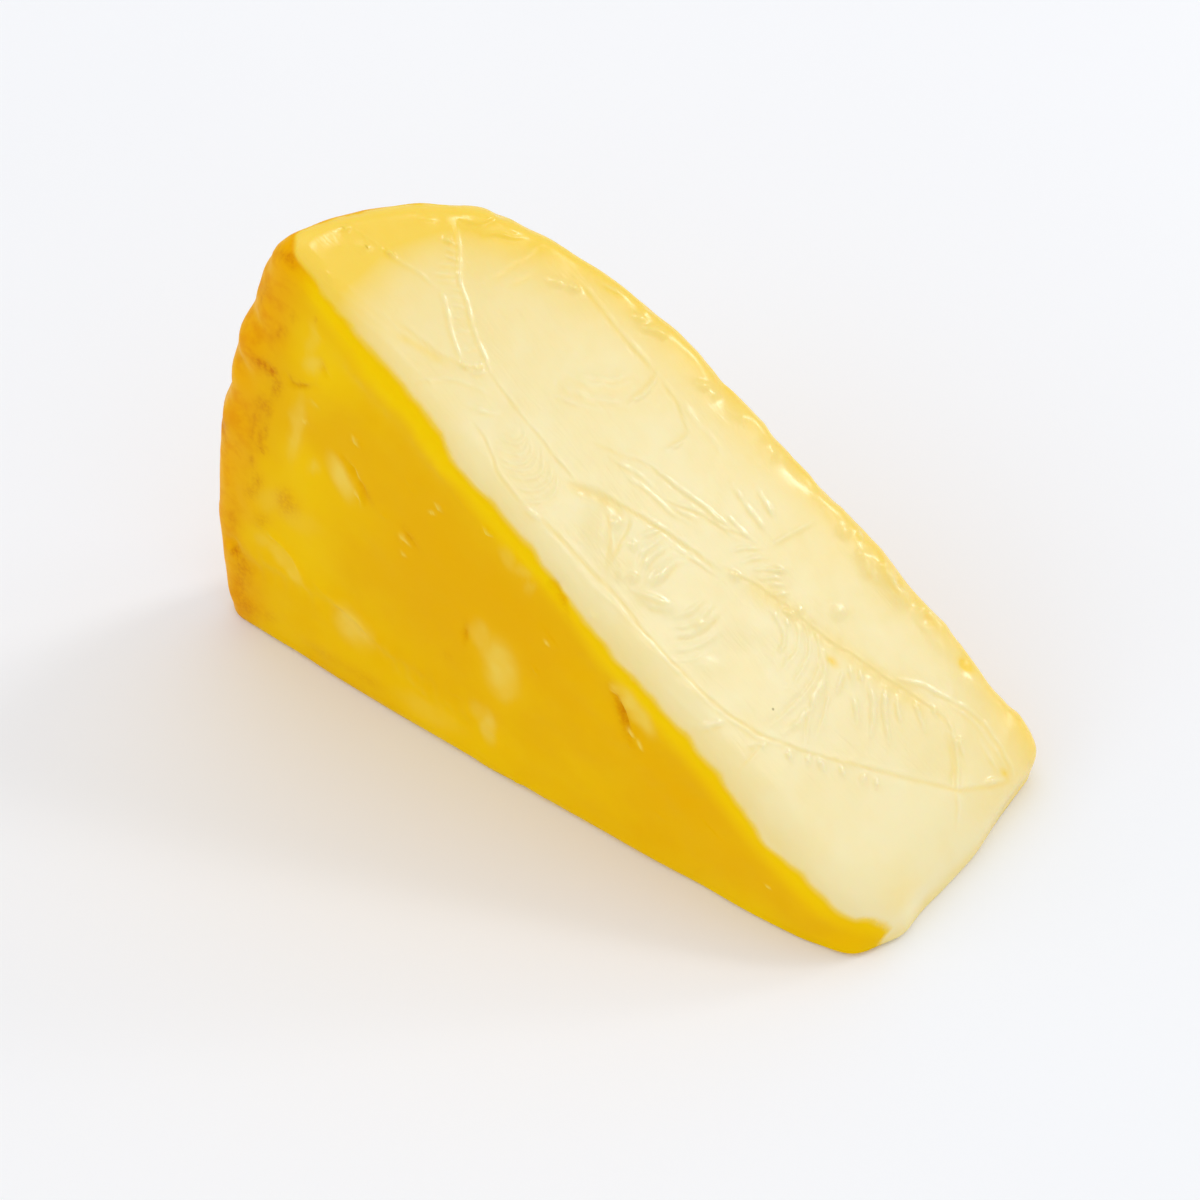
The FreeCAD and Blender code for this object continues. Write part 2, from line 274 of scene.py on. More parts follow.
# ---------------------------------------------------------------- relief
# Lines are (kind, half-width mm, height mm, points). Kinds: r ridge, g groove,
# f fold, one side up and the other down. On the upper cut a point is (distance
# down the cut, thickness); on the base side it is (length, height).
CUT_LINES = [
    ("g", 0.75, -0.30, [(50.6, 9.9), (55.5, 13.0), (57.8, 13.9), (60.2, 14.6)]),
    ("f", 0.60, 0.34, [(54.1, 13.5), (60.0, 15.8), (64.5, 17.7), (70.3, 19.7), (74.4, 21.1)]),
    ("f", 0.50, 0.26, [(75.1, 22.1), (78.2, 23.4), (81.6, 24.9), (84.2, 25.8), (87.3, 26.7), (90.2, 27.2), (94.3, 28.5), (99.0, 30.4), (101.9, 31.2), (105.5, 32.3), (109.6, 33.8), (112.8, 35.0), (116.2, 34.9)]),
    ("g", 1.60, -0.20, [(78.5, 23.1), (84.5, 25.5), (90.5, 26.8), (97.6, 29.4), (105.9, 31.9), (112.2, 34.0)]),
    ("r", 0.45, 0.16, [(105.3, 33.1), (108.9, 36.2), (112.3, 37.7), (115.6, 39.4), (119.6, 40.6), (123.4, 40.1), (127.2, 39.5), (129.4, 39.0)]),
    ("r", 0.40, 0.12, [(113.9, 37.6), (118.5, 39.1), (122.4, 38.9), (126.0, 38.7)]),
    ("f", 0.60, 0.30, [(51.6, 3.5), (55.7, 3.8), (59.7, 4.0), (64.8, 4.5), (68.8, 4.7), (72.6, 4.6), (76.4, 4.8), (80.0, 4.9), (83.9, 5.3), (87.5, 6.0), (91.0, 6.8), (94.6, 8.0), (97.2, 9.4), (101.4, 12.0), (105.4, 14.9), (109.7, 18.3), (115.6, 22.9), (119.9, 26.3), (123.4, 29.2), (126.1, 33.4), (129.0, 38.6)]),
    ("r", 0.40, 0.14, [(65.3, 3.9), (73.2, 3.9), (80.6, 4.3), (88.1, 5.3), (95.2, 7.4), (99.1, 10.0), (102.9, 13.1), (107.4, 16.2), (110.7, 18.8)]),
    ("r", 0.35, 0.08, [(59.9, 2.2), (65.3, 3.0), (68.6, 3.4), (73.1, 3.6)]),
    ("f", 0.70, 0.22, [(30.4, 34.3), (33.4, 34.5), (36.8, 34.4), (40.4, 34.2), (44.4, 34.6), (48.0, 34.6)]),
    ("r", 0.45, 0.22, [(48.5, 35.1), (49.0, 33.7), (49.4, 30.6), (49.1, 27.5)]),
    ("f", 0.60, 0.18, [(49.3, 34.7), (51.3, 34.4), (53.9, 34.1), (56.7, 33.0), (58.2, 32.4)]),
    ("r", 0.45, 0.16, [(57.7, 32.9), (58.4, 31.7), (58.1, 30.0), (57.3, 27.2)]),
    ("r", 0.60, 0.10, [(53.0, 35.1), (56.8, 34.9), (61.9, 35.0), (64.6, 34.6)]),
    ("r", 0.38, 0.22, [(12.9, 24.7), (14.9, 23.4), (17.4, 21.0), (19.5, 18.7), (22.3, 17.3), (25.8, 15.3), (29.3, 13.7), (32.0, 12.3)]),
    ("r", 0.38, 0.20, [(20.4, 14.6), (23.4, 12.5), (27.0, 10.4), (29.4, 9.5)]),
    ("r", 0.35, 0.12, [(19.3, 14.8), (21.2, 14.0)]),
    ("f", 0.50, 0.16, [(32.0, 12.3), (34.1, 12.1), (39.6, 11.8), (44.7, 11.8), (48.1, 11.9), (51.7, 11.6)]),
    ("f", 0.50, 0.18, [(35.6, 5.1), (39.2, 4.5), (43.3, 2.7), (46.1, 2.5), (49.1, 2.5)]),
    ("r", 0.50, 0.34, [(49.1, 2.5), (50.5, 2.7), (51.9, 3.0)]),
    ("r", 0.42, 0.13, [(4.3, 10.3), (7.3, 11.3), (11.0, 12.0), (14.8, 13.8), (18.4, 14.6)]),
    ("f", 0.60, 0.20, [(18.1, 5.8), (20.0, 6.4), (22.0, 6.9), (25.4, 7.6), (28.5, 9.3), (31.1, 10.4)]),
    ("g", 0.70, -0.14, [(19.2, 4.2), (24.1, 6.3), (28.2, 8.1)]),
    ("r", 0.40, 0.07, [(4.9, 1.0), (10.3, 1.6), (16.1, 3.2), (20.9, 4.4)]),
    ("r", 0.40, 0.07, [(7.1, 2.7), (12.8, 3.8), (18.4, 5.4), (22.6, 5.5)]),
    ("r", 0.35, 0.06, [(11.2, 1.2), (18.6, 2.0), (25.8, 3.4)]),
    ("r", 0.35, 0.06, [(13.3, 1.5), (21.7, 2.7), (29.7, 3.8)]),
    ("r", 0.45, 0.12, [(26.1, 1.6), (29.3, 6.9), (32.2, 9.1), (35.2, 10.3)]),
    ("r", 0.45, 0.15, [(34.6, 6.1), (35.9, 8.0), (37.2, 9.3)]),
    ("r", 0.40, 0.10, [(33.0, 5.7), (34.7, 7.1), (35.9, 8.0)]),
    ("r", 0.35, 0.16, [(13.8, 20.3), (15.2, 21.5), (16.0, 22.1)]),
    ("r", 0.35, 0.16, [(15.1, 19.8), (16.7, 21.3)]),
    ("r", 0.35, 0.18, [(15.8, 18.9), (17.5, 20.6)]),
    ("r", 0.35, 0.16, [(16.2, 17.4), (18.3, 19.7)]),
    ("r", 0.35, 0.18, [(16.6, 15.6), (18.1, 17.2), (19.2, 18.9)]),
    ("r", 0.35, 0.12, [(17.4, 15.2), (18.8, 16.5), (20.0, 18.4)]),
    ("r", 0.32, 0.13, [(19.9, 16.0), (21.3, 17.7)]),
    ("r", 0.32, 0.13, [(20.8, 15.2), (22.3, 17.1)]),
    ("r", 0.32, 0.12, [(21.7, 14.4), (23.2, 16.4)]),
    ("r", 0.32, 0.10, [(23.1, 13.3), (24.5, 15.5)]),
    ("r", 0.32, 0.10, [(24.8, 12.2), (26.3, 14.8)]),
    ("r", 0.32, 0.14, [(27.3, 11.0), (28.7, 13.9)]),
    ("r", 0.38, 0.20, [(28.6, 9.9), (30.2, 11.1), (30.5, 12.9)]),
    ("r", 0.38, 0.18, [(30.2, 9.6), (31.4, 10.6), (31.8, 12.4)]),
    ("r", 0.40, 0.12, [(9.9, 19.8), (11.5, 22.2)]),
    ("f", 0.80, 0.14, [(22.6, 21.9), (23.0, 26.8), (23.7, 30.9)]),
    ("f", 0.70, 0.12, [(24.9, 24.3), (25.8, 29.2)]),
    ("r", 0.50, 0.10, [(23.6, 28.4), (23.2, 32.1), (23.9, 35.2)]),
    ("r", 0.33, 0.10, [(39.5, 7.2), (41.0, 7.0), (42.1, 7.8), (42.4, 9.4), (41.8, 10.6), (40.5, 10.9)]),
    ("r", 0.33, 0.08, [(39.8, 7.9), (41.1, 8.2), (41.2, 9.7), (40.4, 10.1)]),
    ("r", 0.33, 0.11, [(41.4, 4.4), (43.2, 4.8), (44.5, 5.8), (44.8, 7.7), (44.5, 9.3), (43.0, 10.3)]),
    ("r", 0.33, 0.10, [(40.7, 5.6), (42.3, 6.0), (43.4, 7.1), (43.7, 8.9), (42.7, 10.4)]),
    ("r", 0.33, 0.11, [(43.7, 3.6), (45.6, 4.4), (46.9, 5.7), (47.4, 7.8), (46.9, 9.4), (45.3, 10.7)]),
    ("r", 0.33, 0.10, [(42.5, 3.9), (44.4, 4.5), (45.5, 5.8), (46.1, 7.8), (45.6, 9.4), (44.4, 10.5)]),
    ("r", 0.33, 0.11, [(45.8, 3.2), (47.6, 4.1), (48.9, 5.7), (49.3, 7.6), (48.8, 9.3), (47.3, 10.4)]),
    ("r", 0.33, 0.10, [(47.8, 2.7), (49.4, 3.6), (50.4, 5.0), (50.9, 7.1), (50.4, 9.0), (48.9, 10.3)]),
    ("r", 0.33, 0.08, [(50.1, 2.9), (51.3, 4.1), (52.1, 6.0), (52.0, 8.2)]),
    ("r", 0.62, 0.13, [(39.2, 22.4), (43.0, 24.2), (45.9, 27.6), (47.0, 31.0)]),
    ("r", 0.62, 0.13, [(39.3, 19.8), (44.4, 22.7), (47.3, 26.0), (48.9, 27.2)]),
    ("r", 0.50, 0.10, [(39.8, 17.9), (43.8, 20.1), (46.7, 22.9)]),
    ("r", 0.50, 0.11, [(40.3, 23.7), (43.0, 25.6), (44.9, 28.4), (45.7, 30.7)]),
    ("f", 0.60, 0.16, [(49.0, 18.0), (51.9, 20.1), (55.7, 22.5), (60.7, 24.0), (65.6, 25.3), (68.3, 26.6)]),
    ("f", 0.50, 0.16, [(56.0, 23.0), (59.3, 23.8), (63.2, 24.7), (67.3, 25.9), (73.4, 27.7)]),
    ("f", 0.50, 0.18, [(62.0, 21.3), (64.3, 22.8), (66.5, 24.3), (71.0, 26.3), (75.8, 29.1)]),
    ("r", 0.50, 0.21, [(63.1, 21.7), (65.5, 22.7), (67.5, 23.9)]),
    ("r", 0.50, 0.21, [(66.5, 25.8), (68.8, 26.3), (71.3, 27.5)]),
    ("r", 0.45, 0.16, [(52.8, 19.1), (56.1, 20.5), (60.2, 21.6)]),
    ("r", 0.45, 0.13, [(56.0, 18.9), (60.1, 20.5), (63.8, 20.9), (67.3, 22.4)]),
    ("r", 0.56, 0.21, [(67.4, 32.5), (69.8, 32.2), (72.3, 32.0), (74.8, 32.0), (76.9, 31.9)]),
    ("r", 0.56, 0.21, [(70.5, 35.4), (72.9, 35.1), (75.8, 34.4)]),
    ("r", 0.45, 0.16, [(69.1, 28.5), (73.1, 28.5), (76.7, 29.3)]),
    ("r", 0.50, 0.13, [(77.8, 30.5), (78.6, 33.9), (80.3, 39.8)]),
    ("r", 0.45, 0.13, [(69.6, 26.1), (72.5, 26.7), (74.6, 27.9)]),
    ("r", 0.40, 0.16, [(74.5, 25.0), (75.6, 27.3), (77.3, 29.2)]),
    ("r", 0.40, 0.16, [(76.7, 25.1), (77.5, 27.4), (78.8, 29.1)]),
    ("r", 0.40, 0.17, [(78.4, 25.4), (79.6, 27.4), (81.1, 28.9)]),
    ("r", 0.36, 0.16, [(80.4, 25.8), (81.3, 27.5), (82.5, 28.8)]),
    ("r", 0.36, 0.15, [(81.7, 26.1), (82.5, 27.5), (83.5, 28.6)]),
    ("r", 0.36, 0.14, [(83.2, 25.5), (83.8, 27.0), (84.7, 27.9)]),
    ("f", 0.60, 0.26, [(57.2, 12.6), (59.1, 11.7), (60.6, 10.3), (62.3, 8.7), (63.3, 6.7)]),
    ("f", 0.60, 0.26, [(60.3, 15.5), (61.4, 14.8), (61.9, 13.2), (62.8, 9.4), (63.7, 6.7)]),
    ("r", 0.50, 0.24, [(66.8, 9.8), (66.0, 11.6), (65.6, 13.5), (65.9, 17.1)]),
    ("r", 0.50, 0.24, [(67.8, 10.2), (67.1, 12.1), (66.9, 14.3), (67.4, 17.4)]),
    ("r", 0.60, 0.30, [(69.8, 11.5), (69.5, 13.5), (69.7, 15.7), (70.4, 17.6)]),
    ("r", 0.45, 0.16, [(63.6, 14.3), (64.3, 16.4), (65.0, 18.1)]),
    ("f", 0.50, 0.20, [(68.2, 17.3), (70.2, 18.3), (72.7, 19.0), (75.1, 19.8)]),
    ("r", 0.45, 0.18, [(68.1, 7.1), (70.2, 8.4), (72.1, 9.9), (73.6, 11.2)]),
    ("r", 0.45, 0.16, [(71.0, 7.5), (72.9, 9.0), (73.6, 10.2)]),
    ("f", 0.70, 0.22, [(77.1, 6.9), (78.5, 9.2), (79.3, 11.3), (79.6, 14.4), (79.5, 17.0)]),
    ("r", 0.50, 0.16, [(76.1, 8.4), (77.3, 10.5), (78.0, 13.2), (78.0, 16.1)]),
    ("r", 0.45, 0.12, [(77.9, 5.5), (79.5, 7.6), (80.8, 10.6), (81.4, 14.0)]),
    ("r", 0.40, 0.10, [(79.3, 5.0), (81.2, 7.3), (82.4, 10.8)]),
    ("r", 0.45, 0.16, [(75.4, 10.2), (76.3, 12.7), (76.5, 15.1)]),
    ("f", 0.50, 0.18, [(86.0, 25.2), (88.0, 25.4), (90.0, 24.8), (91.4, 23.2), (91.6, 20.6), (91.3, 17.5)]),
    ("f", 0.50, 0.18, [(87.7, 26.6), (90.0, 26.3), (92.1, 25.0), (93.5, 22.9), (94.0, 20.0), (93.9, 17.1)]),
    ("f", 0.50, 0.20, [(91.1, 27.1), (93.7, 26.1), (95.5, 24.0), (96.3, 21.3), (96.5, 17.7), (96.4, 14.0), (96.1, 11.3)]),
    ("r", 0.50, 0.29, [(94.5, 26.2), (96.3, 24.6), (97.7, 22.0), (98.4, 18.4), (98.9, 14.6), (98.2, 11.3)]),
    ("r", 0.45, 0.19, [(84.6, 23.6), (86.6, 23.7), (88.6, 23.0), (89.8, 21.1), (89.9, 18.4)]),
    ("r", 0.39, 0.19, [(85.3, 24.1), (86.5, 23.2)]),
    ("r", 0.39, 0.19, [(87.0, 24.8), (88.4, 24.2)]),
    ("f", 0.45, 0.20, [(97.6, 20.9), (97.8, 19.1), (99.8, 15.9), (101.3, 13.8)]),
    ("f", 0.45, 0.22, [(99.1, 22.3), (100.8, 18.6), (102.0, 15.9)]),
    ("r", 0.50, 0.34, [(99.9, 23.7), (99.2, 25.3), (98.7, 26.6)]),
    ("r", 0.50, 0.34, [(102.2, 25.0), (104.0, 23.7), (105.3, 22.5)]),
    ("r", 0.50, 0.41, [(102.1, 29.0), (104.0, 28.0), (105.7, 26.3), (107.8, 23.1)]),
    ("r", 0.50, 0.44, [(104.9, 30.6), (106.1, 28.7), (107.5, 27.1), (110.6, 24.9)]),
    ("r", 0.47, 0.34, [(106.9, 31.0), (108.6, 29.5), (110.4, 28.4)]),
    ("r", 0.47, 0.31, [(109.2, 33.2), (111.4, 32.0), (113.4, 31.1)]),
    ("r", 0.43, 0.37, [(98.9, 27.9), (100.0, 27.3), (101.1, 26.8)]),
    ("r", 0.43, 0.31, [(100.2, 29.1), (101.9, 27.8)]),
    ("f", 0.45, 0.16, [(113.4, 35.4), (115.2, 35.3), (117.0, 34.8)]),
    ("r", 0.43, 0.24, [(112.0, 35.1), (113.3, 34.4)]),
    ("r", 0.50, 0.44, [(100.5, 10.2), (101.5, 9.6)]),
    ("r", 0.50, 0.41, [(103.2, 12.7), (103.8, 11.6)]),
    ("r", 0.54, 0.54, [(104.6, 13.5), (105.5, 13.0), (106.5, 12.6)]),
    ("r", 0.47, 0.48, [(107.5, 15.6), (108.3, 15.5), (109.1, 15.1)]),
    ("r", 0.47, 0.34, [(111.2, 18.1), (111.6, 16.4)]),
    ("r", 0.47, 0.44, [(112.7, 19.1), (113.6, 18.0)]),
    ("r", 0.56, 0.51, [(88.8, 1.7), (89.8, 2.4), (90.1, 3.9), (90.6, 5.0)]),
    ("r", 0.56, 0.44, [(96.8, 7.8), (97.5, 7.5)]),
    ("f", 0.50, 0.18, [(97.1, 8.4), (97.1, 5.4), (97.5, 1.9)]),
    ("r", 0.45, 0.20, [(95.4, 5.1), (96.2, 6.8)]),
    ("r", 0.38, 0.20, [(116.3, 35.3), (118.7, 33.6), (121.6, 30.8), (124.8, 27.4), (126.9, 25.2)]),
    ("r", 0.40, 0.22, [(118.2, 34.7), (119.7, 33.9), (121.1, 33.3)]),
    ("g", 0.50, -0.12, [(116.7, 34.0), (119.5, 31.6), (122.7, 28.4)]),
    ("r", 0.45, 0.26, [(126.0, 33.2), (126.5, 35.4), (127.7, 37.7)]),
    ("r", 0.40, 0.14, [(120.9, 37.6), (123.7, 37.2), (125.9, 36.7)]),
    ("r", 0.55, 0.40, [(92.0, 44.4), (93.1, 43.8), (94.4, 43.7), (97.4, 43.8)]),
    ("r", 0.60, 0.42, [(101.5, 45.6), (102.9, 45.4), (104.6, 45.3)]),
    ("r", 0.60, 0.26, [(90.9, 41.8), (92.4, 41.7)]),
    ("r", 0.55, 0.30, [(85.6, 44.6), (87.1, 44.4)]),
    ("f", 0.55, 0.42, [(13.8, 25.3), (14.8, 25.6), (15.9, 27.5), (16.6, 29.4), (16.7, 31.6)]),
    ("r", 0.45, 0.22, [(17.2, 26.8), (18.4, 28.8), (19.5, 29.6), (21.5, 32.1)]),
    ("r", 0.45, 0.18, [(17.8, 29.9), (19.2, 31.0), (20.3, 31.9)]),
    ("r", 0.50, 0.22, [(33.3, 37.3), (35.1, 38.3), (37.3, 39.3)]),
    ("r", 0.40, 0.14, [(62.3, -1.2), (66.2, -1.1), (70.8, -1.1)]),
    ("r", 0.35, 0.10, [(65.2, -0.8), (70.5, -0.7), (79.5, -0.7)]),
    ("r", 0.40, 0.08, [(80.1, 1.5), (86.4, 1.9), (92.2, 2.6)]),
]
# Bumps are (centre, one half-axis, the other half-axis, height mm).
CUT_BUMPS = [
    (29.1, 31.3, 0.78, 0.81, 0.31, -0.47, 0.45),
    (31.3, 32.9, 0.76, 0.54, 0.27, -0.61, 0.42),
    (41.0, 38.7, 0.77, 0.55, 0.23, -0.54, 0.45),
    (43.6, 39.3, 0.81, 0.83, 0.26, -0.41, 0.40),
    (44.9, 39.9, 0.56, 0.26, 0.13, -0.51, 0.35),
    (42.7, 38.3, 0.49, 0.70, 0.26, -0.29, 0.30),
    (54.5, 39.9, 0.71, 0.71, 0.30, -0.48, 0.42),
    (56.4, 40.4, 0.58, 0.01, -0.04, -0.64, 0.40),
    (41.0, 40.5, 0.56, 0.29, 0.12, -0.58, 0.30),
    (59.8, 12.4, 0.40, 0.53, 0.41, -0.44, 0.35),
    (63.7, 12.2, 0.40, 0.53, 0.41, -0.44, 0.35),
    (69.4, 12.1, 0.00, 1.54, 0.57, 0.06, 0.45),
    (67.1, 8.8, 0.40, 0.52, 0.40, -0.43, 0.38),
    (65.6, 7.5, 0.30, 0.39, 0.30, -0.32, 0.35),
    (78.6, 12.6, 0.52, 0.66, 0.40, -0.44, 0.20),
    (4.1, 9.2, 0.19, 0.63, 0.32, -0.14, 0.40),
    (5.6, 7.2, 0.26, 0.38, 0.26, -0.27, 0.30),
    (7.8, 9.7, 0.44, 0.64, 0.21, -0.21, 0.30),
    (10.7, 12.3, 0.68, 0.15, 0.05, -0.33, 0.38),
    (7.7, 2.1, 0.68, -0.00, 0.00, -0.27, 0.20),
    (5.1, 5.7, 0.54, 0.12, 0.05, -0.33, 0.22),
    (29.2, 9.7, 0.53, 0.23, 0.13, -0.47, 0.32),
    (30.8, 11.2, 0.12, 0.67, 0.41, -0.09, 0.30),
    (14.5, 21.3, 0.55, -0.11, -0.06, -0.42, 0.30),
    (81.3, 29.1, 0.53, 0.69, 0.25, -0.28, 0.35),
    (86.9, 25.9, 0.86, 0.37, 0.10, -0.50, 0.28),
    (92.0, 32.7, 0.54, 0.70, 0.41, -0.46, 0.40),
    (87.6, 27.5, 0.57, 0.25, 0.10, -0.50, 0.20),
    (118.4, 34.5, 0.34, 0.42, 0.40, -0.46, 0.30),
    (126.1, 34.8, 0.51, 1.19, 0.44, -0.08, 0.32),
    (92.1, 44.3, 0.36, 0.54, 0.50, -0.65, 0.30),
    (90.6, 41.6, 0.44, 0.57, 0.72, -0.82, 0.25),
    (-590.1, 465.7, 10.97, -9.14, 693.46, -420.07, 0.35),
    (67.2, 0.1, 0.55, 0.08, 0.09, -0.29, 0.20),
    (76.1, 3.2, 4.22, 1.32, 0.24, -1.33, 0.12),
    (83.7, 9.4, 2.11, 1.38, 0.46, -1.18, 0.18),
    (59.0, 9.7, 1.19, 1.57, 1.62, -1.74, 0.25),
    (84.1, 4.1, 1.95, 0.82, 0.21, -0.95, 0.15),
    (77.3, 22.7, 0.70, 0.31, 0.11, -0.49, 0.30),
    (80.8, 21.2, 3.64, 0.80, 0.10, -1.72, -0.12),
    (85.9, 14.4, 3.59, 4.56, 2.59, -2.87, -0.22),
    (64.0, 9.0, 1.40, 1.83, 1.41, -1.52, 0.18),
    (71.6, 9.3, 2.96, 1.60, 0.34, -1.08, 0.22),
]
BASE_LINES = [
    ("g", 0.50, -0.42, [(74.1, 33.0), (75.2, 30.5), (76.4, 27.9), (77.1, 24.4)]),
    ("g", 0.40, -0.15, [(73.4, 34.0), (74.3, 31.6), (75.5, 29.0), (76.6, 26.7)]),
    ("r", 0.35, 0.10, [(76.1, 26.8), (76.8, 25.3), (77.3, 23.7)]),
    ("g", 0.70, -0.45, [(26.4, 50.8), (27.8, 49.2), (29.2, 47.2), (30.0, 45.1)]),
    ("r", 0.35, 0.30, [(28.7, 45.7), (29.0, 44.5), (29.3, 43.2)]),
    ("g", 0.45, -0.28, [(16.1, 61.7), (16.9, 60.1), (18.6, 60.5), (21.0, 62.3), (22.9, 62.8)]),
    ("g", 0.40, -0.18, [(22.5, 68.1), (23.5, 66.4), (24.6, 65.5)]),
    ("g", 1.30, -0.55, [(62.8, 50.0), (63.9, 48.2), (65.0, 46.4), (66.6, 44.8)]),
    ("f", 3.20, 0.75, [(2.7, 16.0), (9.1, 17.5), (14.9, 17.6), (21.7, 17.4), (28.3, 15.0), (33.3, 11.0), (39.2, 9.6), (44.2, 9.3), (49.7, 8.8)]),
    ("f", 3.00, 0.40, [(21.2, 18.4), (29.2, 14.3), (36.5, 13.4), (43.4, 13.1)]),
    ("f", 4.00, 0.45, [(25.0, 71.4), (32.0, 66.9), (39.0, 62.4), (45.9, 56.7)]),
    ("f", 4.00, -0.35, [(64.9, 36.0), (71.9, 30.0), (80.6, 22.9), (89.4, 16.8)]),
    ("g", 0.40, -0.20, [(37.0, 43.2), (38.0, 42.5), (39.3, 41.4)]),
    ("r", 0.35, 0.22, [(35.9, 41.8), (36.1, 40.6), (36.8, 40.5)]),
    ("r", 0.35, 0.22, [(36.5, 38.6), (36.9, 37.8)]),
    ("r", 0.32, 0.22, [(28.3, 56.6), (29.0, 56.1), (29.5, 55.2)]),
    ("r", 0.32, 0.20, [(25.1, 51.0), (25.8, 50.4)]),
    ("r", 0.32, 0.18, [(37.9, 54.1), (38.4, 53.2)]),
    ("r", 0.32, 0.18, [(38.5, 52.5), (39.0, 52.0)]),
    ("r", 0.30, 0.16, [(42.8, 50.7), (43.7, 51.9), (44.5, 51.7)]),
    ("r", 0.32, 0.18, [(32.7, 43.3), (33.7, 44.3)]),
    ("r", 0.32, 0.20, [(51.5, 53.4), (52.2, 52.8), (53.2, 52.5)]),
    ("r", 0.32, 0.20, [(60.3, 29.4), (60.7, 28.2)]),
    ("g", 0.50, -0.22, [(47.8, 30.5), (47.9, 28.4), (47.5, 26.4)]),
    ("g", 0.50, -0.16, [(11.5, 62.2), (13.0, 61.5), (14.0, 60.0)]),
    ("f", 1.40, 0.35, [(8.2, 25.2), (11.7, 24.2), (14.1, 22.1), (15.8, 18.6)]),
]
BASE_BUMPS = [
    (52.7, 52.5, 0.65, -0.12, -0.28, -0.60, 0.40),
    (55.1, 27.2, 0.37, 0.24, -0.01, -0.44, 0.25),
    (77.0, 37.3, 0.27, 0.08, 0.08, -0.38, 0.28),
    (75.5, 38.0, 0.28, 0.11, 0.05, -0.33, 0.22),
    (77.3, 24.1, 0.31, 0.21, 0.00, -0.57, 0.28),
    (28.9, 43.4, 0.39, 0.24, -0.04, -0.64, 0.30),
    (50.3, 3.5, 0.49, 0.34, -0.02, -0.47, 0.20),
    (56.5, 1.5, 0.49, -0.00, -0.20, -0.54, 0.25),
    (83.1, 11.8, 0.44, 0.31, 0.01, -0.45, 0.25),
    (82.3, 28.6, 0.43, 0.29, 0.01, -0.43, 0.15),
    (69.5, 45.1, 0.28, 0.00, 0.10, -0.23, 0.25),
    (24.9, 45.2, 2.18, 2.47, 2.08, -3.40, -0.28),
    (17.0, 51.5, 1.77, 0.80, -1.25, -6.25, -0.22),
    (21.1, 66.6, 2.49, 0.51, -0.80, -2.24, -0.25),
    (25.3, 15.1, 2.63, 4.13, 3.54, -2.30, -0.32),
    (53.9, 25.0, 3.19, 3.45, 1.86, -5.31, -0.30),
    (51.1, 10.6, 1.46, 1.62, 1.00, -2.93, -0.24),
    (77.8, 31.4, 1.26, 1.95, 2.80, -3.05, -0.28),
    (13.1, 21.9, 1.49, 2.34, 3.27, -1.59, -0.20),
    (39.7, 38.8, 7.03, 1.57, -1.65, -5.33, 0.22),
    (64.8, 25.2, 5.58, -0.19, -1.85, -5.01, 0.20),
    (17.1, 41.3, 3.68, 2.25, -0.52, -6.48, 0.22),
    (39.9, 3.9, 6.57, -0.36, -1.16, -2.76, 0.30),
    (20.3, 6.6, 5.12, -0.17, -1.16, -2.52, 0.20),
]
# Paler patches and brown marks in the base side's skin: centre, half-axes, strength.
PALE = [
    (21.1, 66.6, 1.78, 0.36, -0.56, -1.56, 0.55),
    (21.7, 71.4, 1.12, 0.44, -0.75, -3.36, 0.30),
    (17.0, 51.5, 1.28, 0.58, -1.11, -5.58, 0.60),
    (25.0, 46.3, 1.27, 1.43, 1.60, -2.61, 1.00),
    (19.9, 45.6, 1.01, 0.61, -0.08, -1.06, 0.45),
    (7.9, 22.7, 1.37, -0.38, -0.94, -1.60, 0.35),
    (11.7, 21.8, 1.04, 1.54, 2.56, -1.59, 0.50),
    (13.9, 19.3, 0.90, 1.26, 1.39, -1.18, 0.55),
    (25.3, 15.1, 1.81, 2.84, 3.03, -1.97, 0.85),
    (50.6, 29.7, 1.21, 1.42, 1.16, -2.35, 0.55),
    (53.9, 25.0, 2.51, 2.60, 1.40, -4.66, 0.95),
    (54.9, 20.8, 1.66, 1.46, 0.32, -2.39, 0.60),
    (51.2, 9.8, 1.31, 1.31, 0.64, -2.85, 0.75),
    (49.4, 12.2, 0.85, 1.14, 0.90, -1.34, 0.40),
    (77.8, 31.4, 1.08, 1.60, 2.47, -3.02, 0.95),
    (74.7, 34.0, 0.53, 0.90, 0.89, -0.71, 0.60),
    (55.9, 48.9, 0.82, 0.94, 0.85, -1.67, 0.45),
    (58.2, 47.9, 1.33, 0.27, -0.32, -1.16, 0.35),
    (59.7, 45.4, 1.07, 0.67, -0.02, -1.24, 0.35),
    (10.7, 33.2, 2.53, 1.58, -0.20, -2.23, 0.20),
    (16.4, 32.5, 3.41, 0.02, -1.20, -2.58, 0.15),
    (40.0, 5.8, 5.56, -0.31, -0.81, -1.92, 0.25),
]
